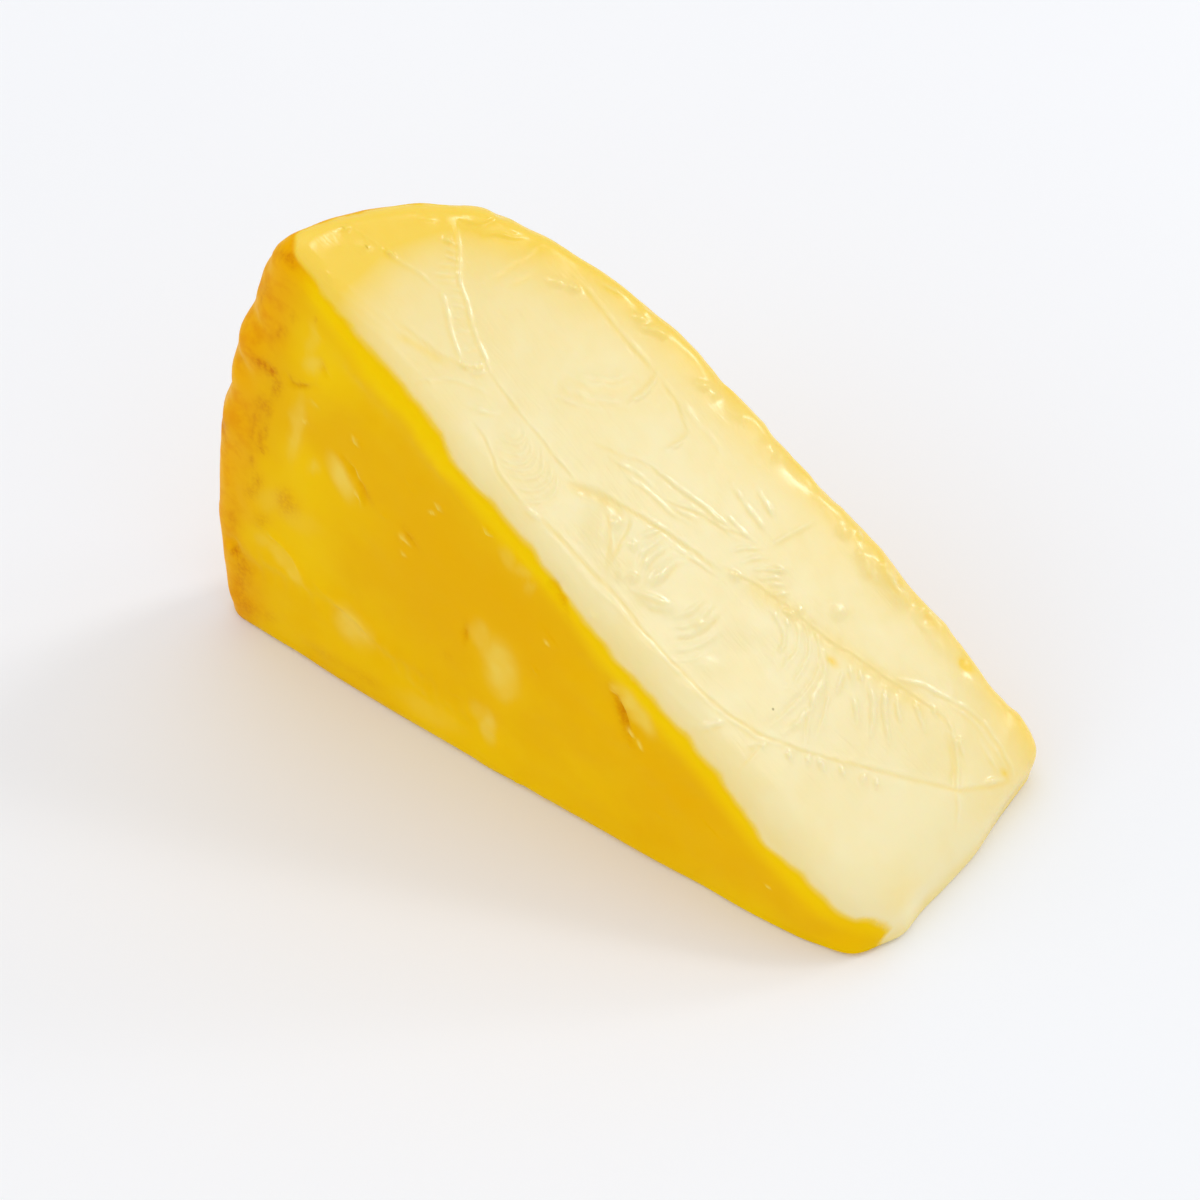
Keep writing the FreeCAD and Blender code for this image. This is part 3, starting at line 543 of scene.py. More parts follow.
BROWN = [
    (11.4, 61.2, 1.43, -0.42, -0.57, -0.92, 1.00),
    (13.3, 60.5, 1.01, 0.58, -0.09, -1.01, 0.80),
    (17.5, 83.9, 1.69, 0.64, 0.05, -0.43, 0.80),
    (18.6, 83.5, 0.50, -0.44, -0.34, -0.32, 0.50),
    (13.0, 75.6, 1.41, 1.09, 0.24, -1.07, 0.50),
    (12.1, 73.2, 0.81, 0.61, 0.08, -0.59, 0.40),
    (15.7, 69.5, 0.95, 0.85, 0.16, -0.44, 0.70),
    (14.3, 67.6, 0.79, 0.45, -0.06, -0.79, 0.40),
    (18.5, 73.7, 0.48, 0.27, -0.04, -0.48, 0.70),
    (22.5, 75.5, 0.29, 0.16, -0.02, -0.29, 0.60),
    (13.8, 57.7, 0.98, 0.40, -0.47, -2.00, 0.75),
    (10.7, 52.8, 1.44, 0.84, -0.13, -1.46, 0.65),
    (11.8, 51.8, 0.60, 0.25, -0.32, -1.36, 0.60),
    (8.9, 48.6, 1.25, 0.74, -0.16, -1.70, 0.50),
    (8.2, 44.7, 0.41, 0.21, -0.31, -1.80, 0.75),
    (9.7, 45.6, 0.41, 0.21, -0.26, -1.57, 0.70),
    (11.0, 47.2, 0.41, 0.21, -0.30, -1.78, 0.60),
    (9.8, 43.2, 0.83, 0.50, -0.06, -0.65, 0.90),
    (7.5, 39.6, 0.63, 0.39, -0.12, -1.31, 0.60),
    (8.4, 35.9, 1.06, 0.65, -0.12, -1.33, 0.60),
    (6.8, 32.5, 1.50, 0.93, -0.13, -1.35, 0.50),
    (13.5, 35.6, 1.67, 1.03, -0.15, -1.77, 0.50),
    (14.5, 33.9, 2.08, 1.30, -0.15, -1.77, 0.40),
    (8.4, 27.5, 1.50, 0.95, -0.17, -1.82, 0.35),
    (2.0, 43.0, 1.45, 1.32, -0.00, -1.31, 0.80),
    (2.2, 40.3, 0.84, 0.66, -0.06, -0.83, 0.50),
    (1.8, 23.4, 1.33, 0.84, -0.24, -2.32, 0.35),
    (1.5, 16.1, 0.89, 0.58, -0.10, -0.95, 0.90),
    (2.6, 14.6, 1.34, 0.87, -0.30, -2.86, 0.50),
    (1.4, 7.6, 2.27, 1.51, -0.42, -3.91, 0.45),
    (4.1, 13.4, 1.34, 0.88, -0.20, -1.91, 0.30),
    (2.9, 4.0, 2.20, 0.10, -1.09, -2.32, 0.45),
    (7.5, 5.2, 1.45, 0.06, -0.79, -1.72, 0.25),
    (19.1, 4.6, 3.52, 0.09, -0.62, -1.41, 0.20),
    (18.6, 60.9, 1.58, 0.91, -0.04, -0.50, 0.60),
    (17.0, 61.1, 0.38, 0.35, 0.32, -0.90, 0.40),
    (23.2, 67.0, 0.56, 0.51, 0.43, -1.18, 0.30),
    (44.1, 21.3, 0.23, 0.15, -0.01, -0.27, 0.90),
    (44.1, 21.1, 0.58, 0.38, -0.03, -0.68, 0.20),
    (27.2, 4.8, 3.11, 0.05, -0.47, -1.12, 0.25),
    (29.9, 46.4, 0.52, 0.62, 1.03, -1.48, 0.35),
    (75.4, 29.7, 0.65, 0.73, 1.56, -4.22, 0.55),
    (64.8, 46.9, 0.50, 0.33, 1.24, -2.73, 0.30),
    (47.8, 28.7, 0.47, 0.26, -0.24, -2.30, 0.35),
    (38.0, 42.5, 0.49, 0.66, 1.21, -1.27, 0.30),
]


def smooth_line(pts):
    """The line through the points, evenly stepped and rounded, and the run along it."""
    pts = np.array(pts)
    step = np.concatenate([[0], np.cumsum(np.hypot(*np.diff(pts, axis=0).T))])
    t = np.linspace(0, step[-1], max(3, int(step[-1] / 0.5)))
    line = np.stack([np.interp(t, step, pts[:, 0]), np.interp(t, step, pts[:, 1])], axis=1)
    for _ in range(3):
        line[1:-1] = 0.25 * line[:-2] + 0.5 * line[1:-1] + 0.25 * line[2:]
    return line, t


# tiny nicks in the base side's skin, raised a little and painted pale as painted glints
GLINT_NICKS = [
    ("r", 0.30, 0.14, [(28.1, 56.7), (29.1, 55.6)]),
    ("r", 0.30, 0.14, [(27.4, 45.5), (29.0, 44.1)]),
    ("r", 0.30, 0.14, [(27.8, 49.8), (28.9, 48.5)]),
    ("r", 0.30, 0.14, [(36.1, 41.9), (37.2, 41.4), (38.1, 40.7)]),
    ("r", 0.30, 0.14, [(36.3, 38.7), (37.2, 38.1)]),
    ("r", 0.30, 0.14, [(42.9, 52.1), (44.1, 51.5)]),
    ("r", 0.30, 0.14, [(41.7, 49.8), (42.8, 50.1)]),
    ("r", 0.30, 0.14, [(52.0, 52.7), (53.2, 52.2)]),
    ("r", 0.30, 0.14, [(20.4, 59.2), (21.9, 58.5)]),
    ("r", 0.30, 0.14, [(18.1, 54.0), (19.2, 53.9)]),
    ("r", 0.30, 0.14, [(73.6, 33.3), (74.5, 32.4)]),
    ("r", 0.30, 0.14, [(76.6, 26.7), (77.7, 25.9)]),
    ("r", 0.30, 0.14, [(78.4, 25.7), (79.2, 24.1)]),
    ("r", 0.30, 0.14, [(101.2, 9.3), (101.7, 9.0)]),
    ("r", 0.30, 0.14, [(73.9, 42.2), (74.8, 41.5)]),
    ("r", 0.30, 0.14, [(62.2, 36.4), (62.9, 35.8)]),
]


def line_field(uv, lines, seed, lift=1.0):
    """Height of the lines at points of a face, and the painted shade in each crease and beside each ridge, 0..1."""
    out, crease_shade = np.zeros(len(uv)), np.zeros(len(uv))
    for n, (kind, w, h, pts) in enumerate(lines):
        w, h = (0.55 * w, 0.42 * h) if kind == "f" else (0.85 * w, h * (1.15 if 0 < h < 0.17 else 1.0))
        line, t = smooth_line(pts)
        pad = 3.2 * w + 0.3
        near = np.all((uv > line.min(axis=0) - pad) & (uv < line.max(axis=0) + pad), axis=1)
        if not near.any():
            continue
        q = uv[near]
        best = np.full(len(q), 1e9)
        side = np.zeros(len(q))
        where = np.zeros(len(q))
        for k in range(len(t) - 1):
            a, b = line[k], line[k + 1]
            ab = b - a
            f = np.clip(((q - a) @ ab) / max(ab @ ab, 1e-9), 0, 1)
            d = q - a - f[:, None] * ab
            dist = np.hypot(d[:, 0], d[:, 1])
            closer = dist < best
            best[closer] = dist[closer]
            side[closer] = np.sign(ab[0] * d[closer, 1] - ab[1] * d[closer, 0])
            where[closer] = t[k] + f[closer] * (t[k + 1] - t[k])
        run = t[-1]
        share = 0.62 if run > 40 else 1.15     # the long veins stand out least for their width
        ends = smooth(0, min(2.5, 0.35 * run), where) * smooth(0, min(2.5, 0.35 * run), run - where)
        ends = 0.25 + 0.75 * ends
        x = best / w
        wobble = 1.0 + 0.45 * np.sin(where * 1.7 + 2.1 * n + seed) * np.sin(where * 0.63 + n) + 0.25 * np.sin(where * 0.41 + 3 * n)
        if kind == "f":
            shape = side * x * np.exp(0.5 - 0.5 * x * x)
            crease_shade_and_sheen = np.exp(-np.square(x + 0.5 * side) / 1.4)
        elif kind == "g":
            shape = np.exp(-x * x)
            crease_shade_and_sheen = np.exp(-0.6 * x * x)
        else:
            shape = np.exp(-x * x)
            crease_shade_and_sheen = 0.55 * np.exp(-np.square(x + 1.4 * side)) * min(1.0, abs(h) / 0.25)
        out[near] += lift * share * h * shape * ends * wobble
        # painted shade in the crease, and along one side of a ridge
        crease_shade[near] = np.maximum(crease_shade[near], crease_shade_and_sheen * ends * min(1.0, abs(h) / 0.16))
    return out, crease_shade


def by_a_line(uv, lines, reach):
    """True for points of a face that lie by a line."""
    out = np.zeros(len(uv), bool)
    for kind, w, h, pts in lines:
        line, t = smooth_line(pts)
        r = reach + 1.1 * w + 0.1
        near = np.flatnonzero(np.all((uv > line.min(axis=0) - r) & (uv < line.max(axis=0) + r), axis=1) & ~out)
        for at in line:
            d = uv[near] - at
            out[near] |= np.hypot(d[:, 0], d[:, 1]) < r
    return out


def spot_field(uv, spots, sharp=2.0):
    """Sum of soft-edged ellipses, each times its last number."""
    out = np.zeros(len(uv))
    for cx, cy, ax, ay, bx, by, h in spots:
        det = ax * by - ay * bx
        d = uv - (cx, cy)
        e1 = (d[:, 0] * by - d[:, 1] * bx) / det
        e2 = (-d[:, 0] * ay + d[:, 1] * ax) / det
        k = e1 * e1 + e2 * e2
        out += h * np.exp(-np.power(k, 0.5 * sharp) * 0.9) * (k < 12)
    return out


def spot_mask(uv, spots, edge):
    """Union of ellipses with a fairly crisp edge, 0..1."""
    out = np.zeros(len(uv))
    for cx, cy, ax, ay, bx, by, h in spots:
        det = ax * by - ay * bx
        d = uv - (cx, cy)
        e1 = (d[:, 0] * by - d[:, 1] * bx) / det
        e2 = (-d[:, 0] * ay + d[:, 1] * ax) / det
        k = np.sqrt(e1 * e1 + e2 * e2)
        out = np.maximum(out, h * (1 - smooth(1 - edge, 1 + edge, k)))
    return out


def parts_of(p, normal):
    """Weights of the faces that a point belongs to: upper cut, base side, outer skin, tip, lower cut."""
    up = smooth(0.80, 0.97, normal @ UP)
    base = smooth(0.80, 0.97, -normal[:, 1])
    low = smooth(0.80, 0.97, -normal[:, 2])
    tip = smooth(0.75, 0.95, normal[:, 0]) * (p[:, 0] > 110)
    skin = np.clip(1 - up - base - low - tip, 0, 1)
    return up, base, skin, tip, low


def on_cut(p):
    return np.stack([(p[:, 0] - CUT_X) * ALONG[0] + (p[:, 2] - CUT_Z) * ALONG[2], p[:, 1]], axis=1)


# Waxy lumps and small dips along the rim and the far edge: middle, radius, height.
LUMPS = [
    (9.6, 0.4, 68.3, 3.0, -0.75), (8.4, 0.2, 63.2, 4.0, 0.60), (7.0, -0.1, 58.0, 2.0, -0.75), (1.1, 0.0, 17.6, 1.6, -0.60),
    (1.2, 0.3, 15.2, 1.5, 0.30), (0.8, 0.0, 9.4, 3.0, -0.20), (25.9, 23.8, 80.3, 2.4, -0.35), (28.2, 28.4, 78.1, 3.2, 0.35),
    (29.9, 31.6, 76.0, 1.5, -0.35), (56.5, 43.6, 55.3, 3.0, 0.25), (62.7, 42.5, 51.7, 2.5, -0.35), (68.4, 43.5, 47.1, 3.0, 0.30),
    (74.5, 43.9, 42.3, 2.2, -0.35), (80.8, 44.1, 37.4, 3.2, 0.25), (86.4, 45.2, 32.7, 2.0, -0.30), (91.5, 43.7, 29.3, 1.5, 0.42),
    (93.9, 43.4, 27.4, 1.4, 0.40), (92.6, 44.6, 27.9, 0.9, -0.30), (96.9, 45.0, 24.8, 1.2, 0.35), (99.8, 45.8, 22.1, 1.3, 0.35),
    (98.2, 44.4, 24.2, 0.9, -0.25), (104.8, 45.0, 18.7, 1.5, -0.40), (110.8, 45.5, 13.6, 2.5, 0.20), (87.6, 42.6, 32.6, 0.9, 0.25),
    (84.0, 42.8, 35.4, 1.0, 0.25), (71.6, 41.9, 45.0, 0.9, 0.22), (66.1, 41.6, 49.3, 1.0, 0.22),
]


# How the outline strays from the wheel and the cuts: place, radius, height.
STRAYS = [
    (117.3, 46.4, 6.4, 2.5, 0.38), (116.0, 47.4, 7.9, 2.5, -0.16), (114.4, 47.9, 9.5, 3.8, 0.19), (110.9, 47.8, 12.6, 5.0, -0.83),
    (105.8, 47.5, 16.0, 5.0, 0.07), (100.5, 46.8, 21.2, 5.0, 0.29), (91.7, 47.0, 26.8, 5.0, 0.08), (86.7, 46.8, 30.2, 5.0, 0.71),
    (82.0, 46.5, 34.5, 5.0, 0.23), (78.1, 46.2, 37.7, 5.0, -0.33), (70.0, 45.6, 44.1, 5.0, -0.42), (65.6, 45.0, 47.8, 5.0, 0.06),
    (61.3, 44.8, 50.6, 5.0, -0.25), (57.0, 44.2, 54.5, 5.0, -0.10), (52.4, 43.3, 58.0, 5.0, 0.25), (48.7, 42.4, 60.9, 4.8, -0.32),
    (41.8, 40.1, 66.2, 4.4, -0.12), (38.6, 38.6, 68.7, 4.4, -0.48), (35.7, 36.7, 71.2, 4.3, 0.07), (32.5, 34.6, 73.4, 4.1, -0.39),
    (29.7, 32.2, 75.1, 4.0, 0.49), (27.4, 29.7, 77.5, 3.8, 0.12), (25.4, 26.8, 78.9, 3.7, -0.07), (23.2, 23.2, 80.5, 3.7, 0.29),
    (21.6, 20.1, 81.8, 3.7, -0.15), (19.6, 17.0, 82.5, 3.8, -0.10), (18.2, 12.9, 83.6, 3.8, -0.12), (16.9, 8.7, 84.6, 3.9, -0.08),
    (15.9, 4.5, 85.3, 4.3, -0.61), (14.5, 2.2, 82.5, 3.3, 0.88), (11.6, 3.2, 77.6, 3.0, 0.47), (10.2, 2.2, 73.4, 4.0, 0.15),
    (6.9, 2.6, 66.3, 4.0, 0.07), (6.3, 1.0, 63.0, 3.9, 0.09), (3.3, 2.2, 54.8, 3.8, 0.24), (2.2, 1.9, 50.6, 3.8, -0.62),
    (1.9, 0.8, 46.1, 3.8, 0.32), (-0.3, 1.5, 39.0, 3.7, -0.08), (-0.9, 1.1, 33.6, 3.7, -0.20), (-1.8, 1.3, 22.0, 3.7, 0.30),
    (-2.1, 1.4, 16.8, 3.7, 0.14), (-1.9, 1.0, 11.5, 3.7, 0.05), (-1.7, 1.0, 5.2, 3.5, 0.13), (-1.3, 1.0, 0.7, 2.5, -0.14),
    (0.2, 0.4, 0.4, 2.6, -0.11), (4.5, 0.2, 0.3, 5.0, -0.20), (13.3, -0.6, 0.9, 5.0, -0.26), (33.4, -0.8, 0.6, 5.0, 0.06),
    (52.8, -0.8, 0.4, 5.0, 0.27), (72.1, -1.1, 0.8, 5.0, -0.08), (90.0, -0.7, 0.5, 5.0, -0.27), (103.4, -0.4, 0.5, 5.0, -0.21),
    (110.0, 0.3, 0.5, 4.8, -0.77), (112.6, 1.5, 0.5, 3.1, 0.56), (115.0, 3.4, 0.4, 3.1, 0.80), (117.0, 5.4, 0.7, 3.4, -0.57),
    (118.7, 9.2, 0.7, 4.6, 0.18), (119.3, 14.8, 0.7, 5.0, -0.96), (119.6, 22.2, 0.8, 5.0, -0.67), (119.5, 27.4, 0.6, 4.3, -0.16),
    (119.6, 32.6, 1.1, 4.6, -0.67), (119.2, 37.7, 1.1, 4.4, -0.82), (118.5, 43.5, 1.0, 4.2, -0.43), (118.2, 45.3, 4.5, 3.1, 0.13),
]


def lump_field(p, lumps):
    out = np.zeros(len(p))
    for x, y, z, r, height in lumps:
        out += height * np.exp(-((p[:, 0] - x) ** 2 + (p[:, 1] - y) ** 2 + (p[:, 2] - z) ** 2) / (r * r))
    return out


def relief(p, normal):
    """Height to add along the normal, mm, and the painted shade in the upper cut's creases less the painted highlight
    on its ridge tops.
    """
    up, base, skin, tip, low = parts_of(p, normal)
    cut_uv, base_uv = on_cut(p), p[:, [0, 2]]
    upper = smooth(-4.5, -1.0, upper_depth(p)) * smooth(0.35, 0.75, normal @ UP)
    drift = np.stack([noise(p, 2.6, 21), noise(p, 2.6, 22)], axis=1)
    lines, crease_shade_and_sheen = line_field(cut_uv + 0.22 * drift, CUT_LINES, 1, 0.42)
    lines *= 0.82 + 0.18 * smooth(25, 60, cut_uv[:, 0])
    h = upper * (lines + spot_field(cut_uv, CUT_BUMPS))
    basew = smooth(0.45, 0.8, -normal[:, 1])
    h += basew * (line_field(base_uv, BASE_LINES, 2)[0] + line_field(base_uv, GLINT_NICKS, 5)[0] + spot_field(base_uv, BASE_BUMPS))
    h += lump_field(p, LUMPS)
    # soft unevenness everywhere, least on the cut
    h += (1 - 0.45 * up) * (0.16 * noise(p, 16.0, 11) + 0.08 * noise(p, 7.0, 12))
    h += up * (0.018 * noise(p, 3.1, 13) + 0.008 * noise(p, 1.2, 14))
    h += (base + skin) * (0.07 * noise(p, 4.3, 15) + 0.02 * noise(p, 1.9, 16))
    # the far edge is a string of small waxy lumps
    far = smooth(41.0, 44.0, p[:, 1]) * smooth(-4.0, -1.0, upper_depth(p)) * smooth(10, 40, p[:, 0])
    h += far * 0.14 * noise(p, 2.4, 20)
    # rim: shallow pits and creases in the smoked skin
    r = np.hypot(p[:, 0] - AXIS_X, p[:, 2] - AXIS_Z)
    rim = smooth(139.0, 147.0, r) * (1 - up) * (1 - low)
    pits = noise(p * [1.0, 1.0, 0.55], 1.7, 17)
    h += rim * (0.20 * noise(p, 5.5, 18) - 0.13 * smooth(0.35, 0.8, pits))
    # the lower cut lies flat
    flat = smooth(2.5, 0.4, p[:, 2])
    h *= (1 - flat * (normal[:, 2] < -0.2)) * (1 - 0.85 * smooth(0.5, 0.95, -normal[:, 2]))
    # second value: painted crease shade less a painted highlight on the ridge tops
    return h, upper * (crease_shade_and_sheen - 0.4 * np.clip(lines / 0.12, 0, 1))


# ---------------------------------------------------------------- the cheese
FINE = [line for line in CUT_LINES if line[1] < 0.6 and abs(line[2]) > 0.09]


def build_cheese():
    pts, quads = coarse()
    mesh = bpy.data.meshes.new("cheese")
    mesh.from_pydata(pts.tolist(), [], quads.tolist())
    mesh.update()
    store(mesh, settle(coords(mesh), 10))

    refine(mesh, lambda m: (upper_depth(m) > -6) | (m[:, 1] < 3.0) & (m[:, 2] > 0.3) | (np.hypot(m[:, 0] - AXIS_X, m[:, 2] - AXIS_Z) > 142) & (m[:, 1] < 30) & (m[:, 2] > 0.3))
    store(mesh, settle(coords(mesh), 5))
    refine(mesh, lambda m: (m[:, 1] < 2.0) & (m[:, 2] > 0.5) & by_a_line(m[:, [0, 2]], BASE_LINES + GLINT_NICKS, 0.2))
    store(mesh, settle(coords(mesh), 4))
    refine(mesh, lambda m: (upper_depth(m) > -3.0) & ((m[:, 1] > 41.5) | by_a_line(on_cut(m), CUT_LINES, 0.7)))
    store(mesh, settle(coords(mesh), 4))
    refine(mesh, lambda m: (upper_depth(m) > -0.6) & by_a_line(on_cut(m), FINE, 0.05))
    store(mesh, settle(coords(mesh), 4))
    bm = bmesh.new()
    bm.from_mesh(mesh)
    bmesh.ops.recalc_face_normals(bm, faces=bm.faces)
    bm.to_mesh(mesh)
    bm.free()

    p = coords(mesh)
    g = slope_of(p)
    normal = g / np.linalg.norm(g, axis=1)[:, None]
    height, crease_shade_and_sheen = relief(p, normal)
    # strays move a place outward without lifting the lower cut off the floor
    outward = normal * np.stack([np.ones(len(p)), np.ones(len(p)), smooth(0.5, 4.0, p[:, 2])], axis=1)
    q = p + height[:, None] * normal + lump_field(p, STRAYS)[:, None] * outward
    q[:, 2] = np.maximum(q[:, 2], 0.0)
    paint(mesh, p, normal, crease_shade_and_sheen)
    store(mesh, (q + SHIFT) / 1000.0)
    for f in mesh.polygons:
        f.use_smooth = True
    return mesh


# where the skin's colour gives way to the paste: (distance down the upper cut, depth below it)
SKIN_EDGE = [(0, 1.2), (31, 1.0), (34, 1.3), (37.7, 2.1), (42, 1.7), (46, 1.4), (59, 2.1), (67, 2.7), (75, 2.4), (82, 2.2), (97, 2.2),
             (104, 2.7), (108.5, 3.7), (111.5, 2.9), (114.5, 2.2), (118, 2.7), (122, 3.4), (125, 3.5), (127, 3.1), (129, 3.4),
             (130.5, 4.4), (131.3, 6.2), (132.5, 9.0)]


# where the base side's skin is deeper amber (+) or yellower (-): centre, half-axes, strength
AMBER = [(40, 42, 8, 0.0, 0.0, 13, 0.7), (54, 38, 14, 0.0, 0.0, 9, 0.8), (41, 27, 9, 0.0, 0.0, 8, 0.6), (65, 30, 9, 0.0, 0.0, 8, 0.5), (84, 19, 13, 0.0, 0.0, 8, 0.6), (97, 9, 10, 0.0, 0.0, 5, 0.5), (26, 55, 8, 0.0, 0.0, 7, 0.4), (16, 24, 7, 0.0, 0.0, 10, -0.5), (23, 66, 6, 0.0, 0.0, 8, -0.6), (14, 5, 12, 0.0, 0.0, 5, -0.35), (40, 9, 14, 0.0, 0.0, 4, -0.35), (57, 7, 14, 0.0, 0.0, 3.5, -0.3), (19, 45, 5, 0.0, 0.0, 10, -0.4)]

# painted sheen: where the upper cut's paste is painted paler to stand for the light's reflection: place, half-axes,
# strength
PAINTED_SHEEN_SPOTS = [(100, 20, 15, 0.0, 0.0, 9, 1.0), (78, 16, 10, 0.0, 0.0, 7, 0.5)]

# small saturated spots on the upper cut: place, half-axes, strength
LEMON_SPOTS = [(130, 8, 5.0, 0.0, 0.0, 7.0, 0.26), (5.5, 4.5, 5.0, 0.0, 0.0, 4.5, 0.35), (17, 31, 6.0, 0.0, 0.0, 6.0, 0.25), (96.3, 26.2, 1.0, 0.3, -0.2, 0.6, 0.9), (111.6, 44.7, 1.2, 0.2, 0.1, 0.9, 0.9), (7.8, 15.9, 1.1, -0.6, 0.3, 0.5, 0.8),
               (6.6, 7.7, 1.4, 0.3, -0.2, 0.9, 0.7), (127.1, 37.8, 0.9, 0.4, -0.3, 0.5, 0.6), (92.2, 46.5, 1.6, 0.2, 0.2, 1.4, 0.6)]


def paint(mesh, p, normal, crease_shade_and_sheen):
    """Stores where the skin, its brown marks, its pale patches with the painted glints of its nicks, and the yellowed
    edge of the paste with painted crease shade and painted sheen are.
    """
    up, base, skin, tip, low = parts_of(p, normal)
    r = np.hypot(p[:, 0] - AXIS_X, p[:, 2] - AXIS_Z)
    a = r / WHEEL_R
    b = np.clip(a, 0, 1) ** BASE_BOW_POWER
    from_base = p[:, 1] + 4 * BASE_BOW * b * (1 - b)
    top = WHEEL_H - CROWN * a * a
    q = np.maximum(p[:, 1] / top, 0)
    gval = a ** SHOULDER + q ** RIM_POWER - 1
    gr = SHOULDER * a ** (SHOULDER - 1) / WHEEL_R + RIM_POWER * q ** (RIM_POWER - 1) * p[:, 1] * 2 * CROWN * a / WHEEL_R / top ** 2
    gy = RIM_POWER * q ** (RIM_POWER - 1) / top
    from_dome = np.maximum(-gval / np.sqrt(gr * gr + gy * gy + 1e-9), 0)
    s = on_cut(p)[:, 0]
    edge = np.interp(s, *np.array(SKIN_EDGE).T)
    deep = -upper_depth(p)
    ragged = 0.36 * noise(p, 5.0, 31) + 0.20 * noise(p, 1.8, 32)
    soft = 0.65 + 0.35 * smooth(45, 75, s)
    at_tip = smooth(105, 112, p[:, 0])
    near_skin = smooth(edge - 1.15 * soft, edge + 0.85 * soft, deep + ragged) * smooth(4.5 + 1.5 * at_tip, 3.0 - at_tip, from_base + ragged - 4 * at_tip)
    far_edge = np.interp(s, [0, 60, 100, 124, 130, 133], [0.9, 1.2, 1.6, 2.2, 6, 11])
    far_skin = smooth(far_edge - 1.1, far_edge + 1.3, deep + 2 * ragged) * smooth(4.5, 3.0, from_dome + ragged)
    skin_mask = np.maximum(near_skin, far_skin)
    # lemon-coloured rim of the skin, where it thins over the edges
    lemon = smooth(7.0, 2.2, deep + 1.4 * noise(p, 9.0, 33)) * near_skin
    lemon = np.maximum(lemon, 0.5 * smooth(7, 1, p[:, 2] + 2.0 * noise(p, 12.0, 34)) * smooth(15, 45, p[:, 0]) * near_skin)
    rim = smooth(139.0, 146.5, r + 2.2 * noise(p, 7.0, 35))
    base_uv = p[:, [0, 2]]
    on_base = smooth(0.2, 0.5, -normal[:, 1])
    drift = np.stack([noise(p, 3.0, 36), noise(p, 3.0, 37)], axis=1)
    pale_and_glint = spot_mask(base_uv + 0.7 * drift, PALE, 0.62) * on_base * (1.0 + 0.25 * noise(p, 1.6, 41))
    # painted glints: the nicks are painted pale as well as raised
    painted_glint, _ = line_field(base_uv, GLINT_NICKS, 5)
    pale_and_glint = np.maximum(pale_and_glint, np.clip(painted_glint * 9, 0, 1) * on_base)
    brown = spot_field(base_uv, BROWN) * smooth(0.1, 0.4, -normal[:, 1])
    hidden = 1 - smooth(-0.1, 0.3, -normal[:, 1])
    speck = smooth(0.25, 0.75, noise(p * [1, 1, 0.5], 2.6, 38)) * smooth(-0.2, 0.4, noise(p, 9.0, 39))
    brown = np.clip(brown + 0.75 * speck * rim * hidden, 0, 1)
    wide = np.interp(s, [0, 40, 60, 85, 100], [7.8, 7.6, 6.4, 5.8, 4.5])
    yellowing_shade_and_sheen = 0.95 * np.exp(-np.power(from_dome / wide, 1.4)) + 0.19 * np.exp(-from_dome / 13.0) + 0.30 * np.exp(-np.maximum(from_base - 0.8, 0) / 1.8)
    rim_end = s + 2.5 * noise(p, 8.0, 40) + 0.10 * (p[:, 1] - 20)
    yellowing_shade_and_sheen += 0.66 * smooth(19, -2, rim_end) + 0.27 * smooth(46, 8, rim_end)
    yellowing_shade_and_sheen = np.clip(yellowing_shade_and_sheen + 0.20 * smooth(112, 130, s) * smooth(20, 42, p[:, 1]) + 0.45 * smooth(5.0, 0.3, p[:, 2]), 0, 1.15)
    # the lemon spots are the paste's own colour; the subtracted patches are painted sheen
    yellowing_shade_and_sheen += spot_field(on_cut(p), LEMON_SPOTS) * smooth(-3, -1, upper_depth(p)) - 0.14 * spot_field(on_cut(p), PAINTED_SHEEN_SPOTS) * smooth(-3, -1, upper_depth(p))
    # creases painted a deeper yellow, partly the fold's own colour and partly painted shade; ridge tops painted paler
    # as a painted highlight
    yellowing_shade_and_sheen = np.clip(yellowing_shade_and_sheen + 0.31 * crease_shade_and_sheen, -1, 1.3)
    amber = spot_field(base_uv, AMBER, 2.4) + 0.25 * noise(p, 14.0, 42)
    fields = {"amber": np.clip(amber, -1, 1), "skin": skin_mask, "lemon": lemon, "rim": rim, "pale_and_glint": pale_and_glint, "brown": brown, "yellowing_shade_and_sheen": yellowing_shade_and_sheen}
    for name, value in fields.items():
        at = mesh.attributes.new(name, "FLOAT", "POINT")
        at.data.foreach_set("value", np.ascontiguousarray(value, np.float32))
    # faces of the skin wear the second material, which has the duller shine
    of_face = np.empty(len(mesh.loops), np.int32)
    mesh.loops.foreach_get("vertex_index", of_face)
    start = np.empty(len(mesh.polygons), np.int32)
    mesh.polygons.foreach_get("loop_start", start)
    mesh.polygons.foreach_set("material_index", (skin_mask[of_face[start]] > 0.5).astype(np.int32))


# ---------------------------------------------------------------- materials
def nodes_of(name):
    mat = bpy.data.materials.new(name)
    mat.use_nodes = True
    tree = mat.node_tree
    tree.nodes.clear()
    out = tree.nodes.new("ShaderNodeOutputMaterial")
    bsdf = tree.nodes.new("ShaderNodeBsdfPrincipled")
    tree.links.new(bsdf.outputs[0], out.inputs[0])
    return mat, tree, bsdf


def attr(tree, name):
    n = tree.nodes.new("ShaderNodeAttribute")
    n.attribute_name = name
    return n.outputs["Fac"]


def grain(tree, scale, detail, rough=0.5, distortion=0.0):
    """Noise in object space; scale is the number of cells to the millimetre."""
    n = tree.nodes.new("ShaderNodeTexNoise")
    n.inputs["Scale"].default_value = scale * 1000.0
    n.inputs["Detail"].default_value = detail
    n.inputs["Roughness"].default_value = rough
    n.inputs["Distortion"].default_value = distortion
    c = tree.nodes.new("ShaderNodeTexCoord")
    tree.links.new(c.outputs["Object"], n.inputs["Vector"])
    return n.outputs["Fac"]


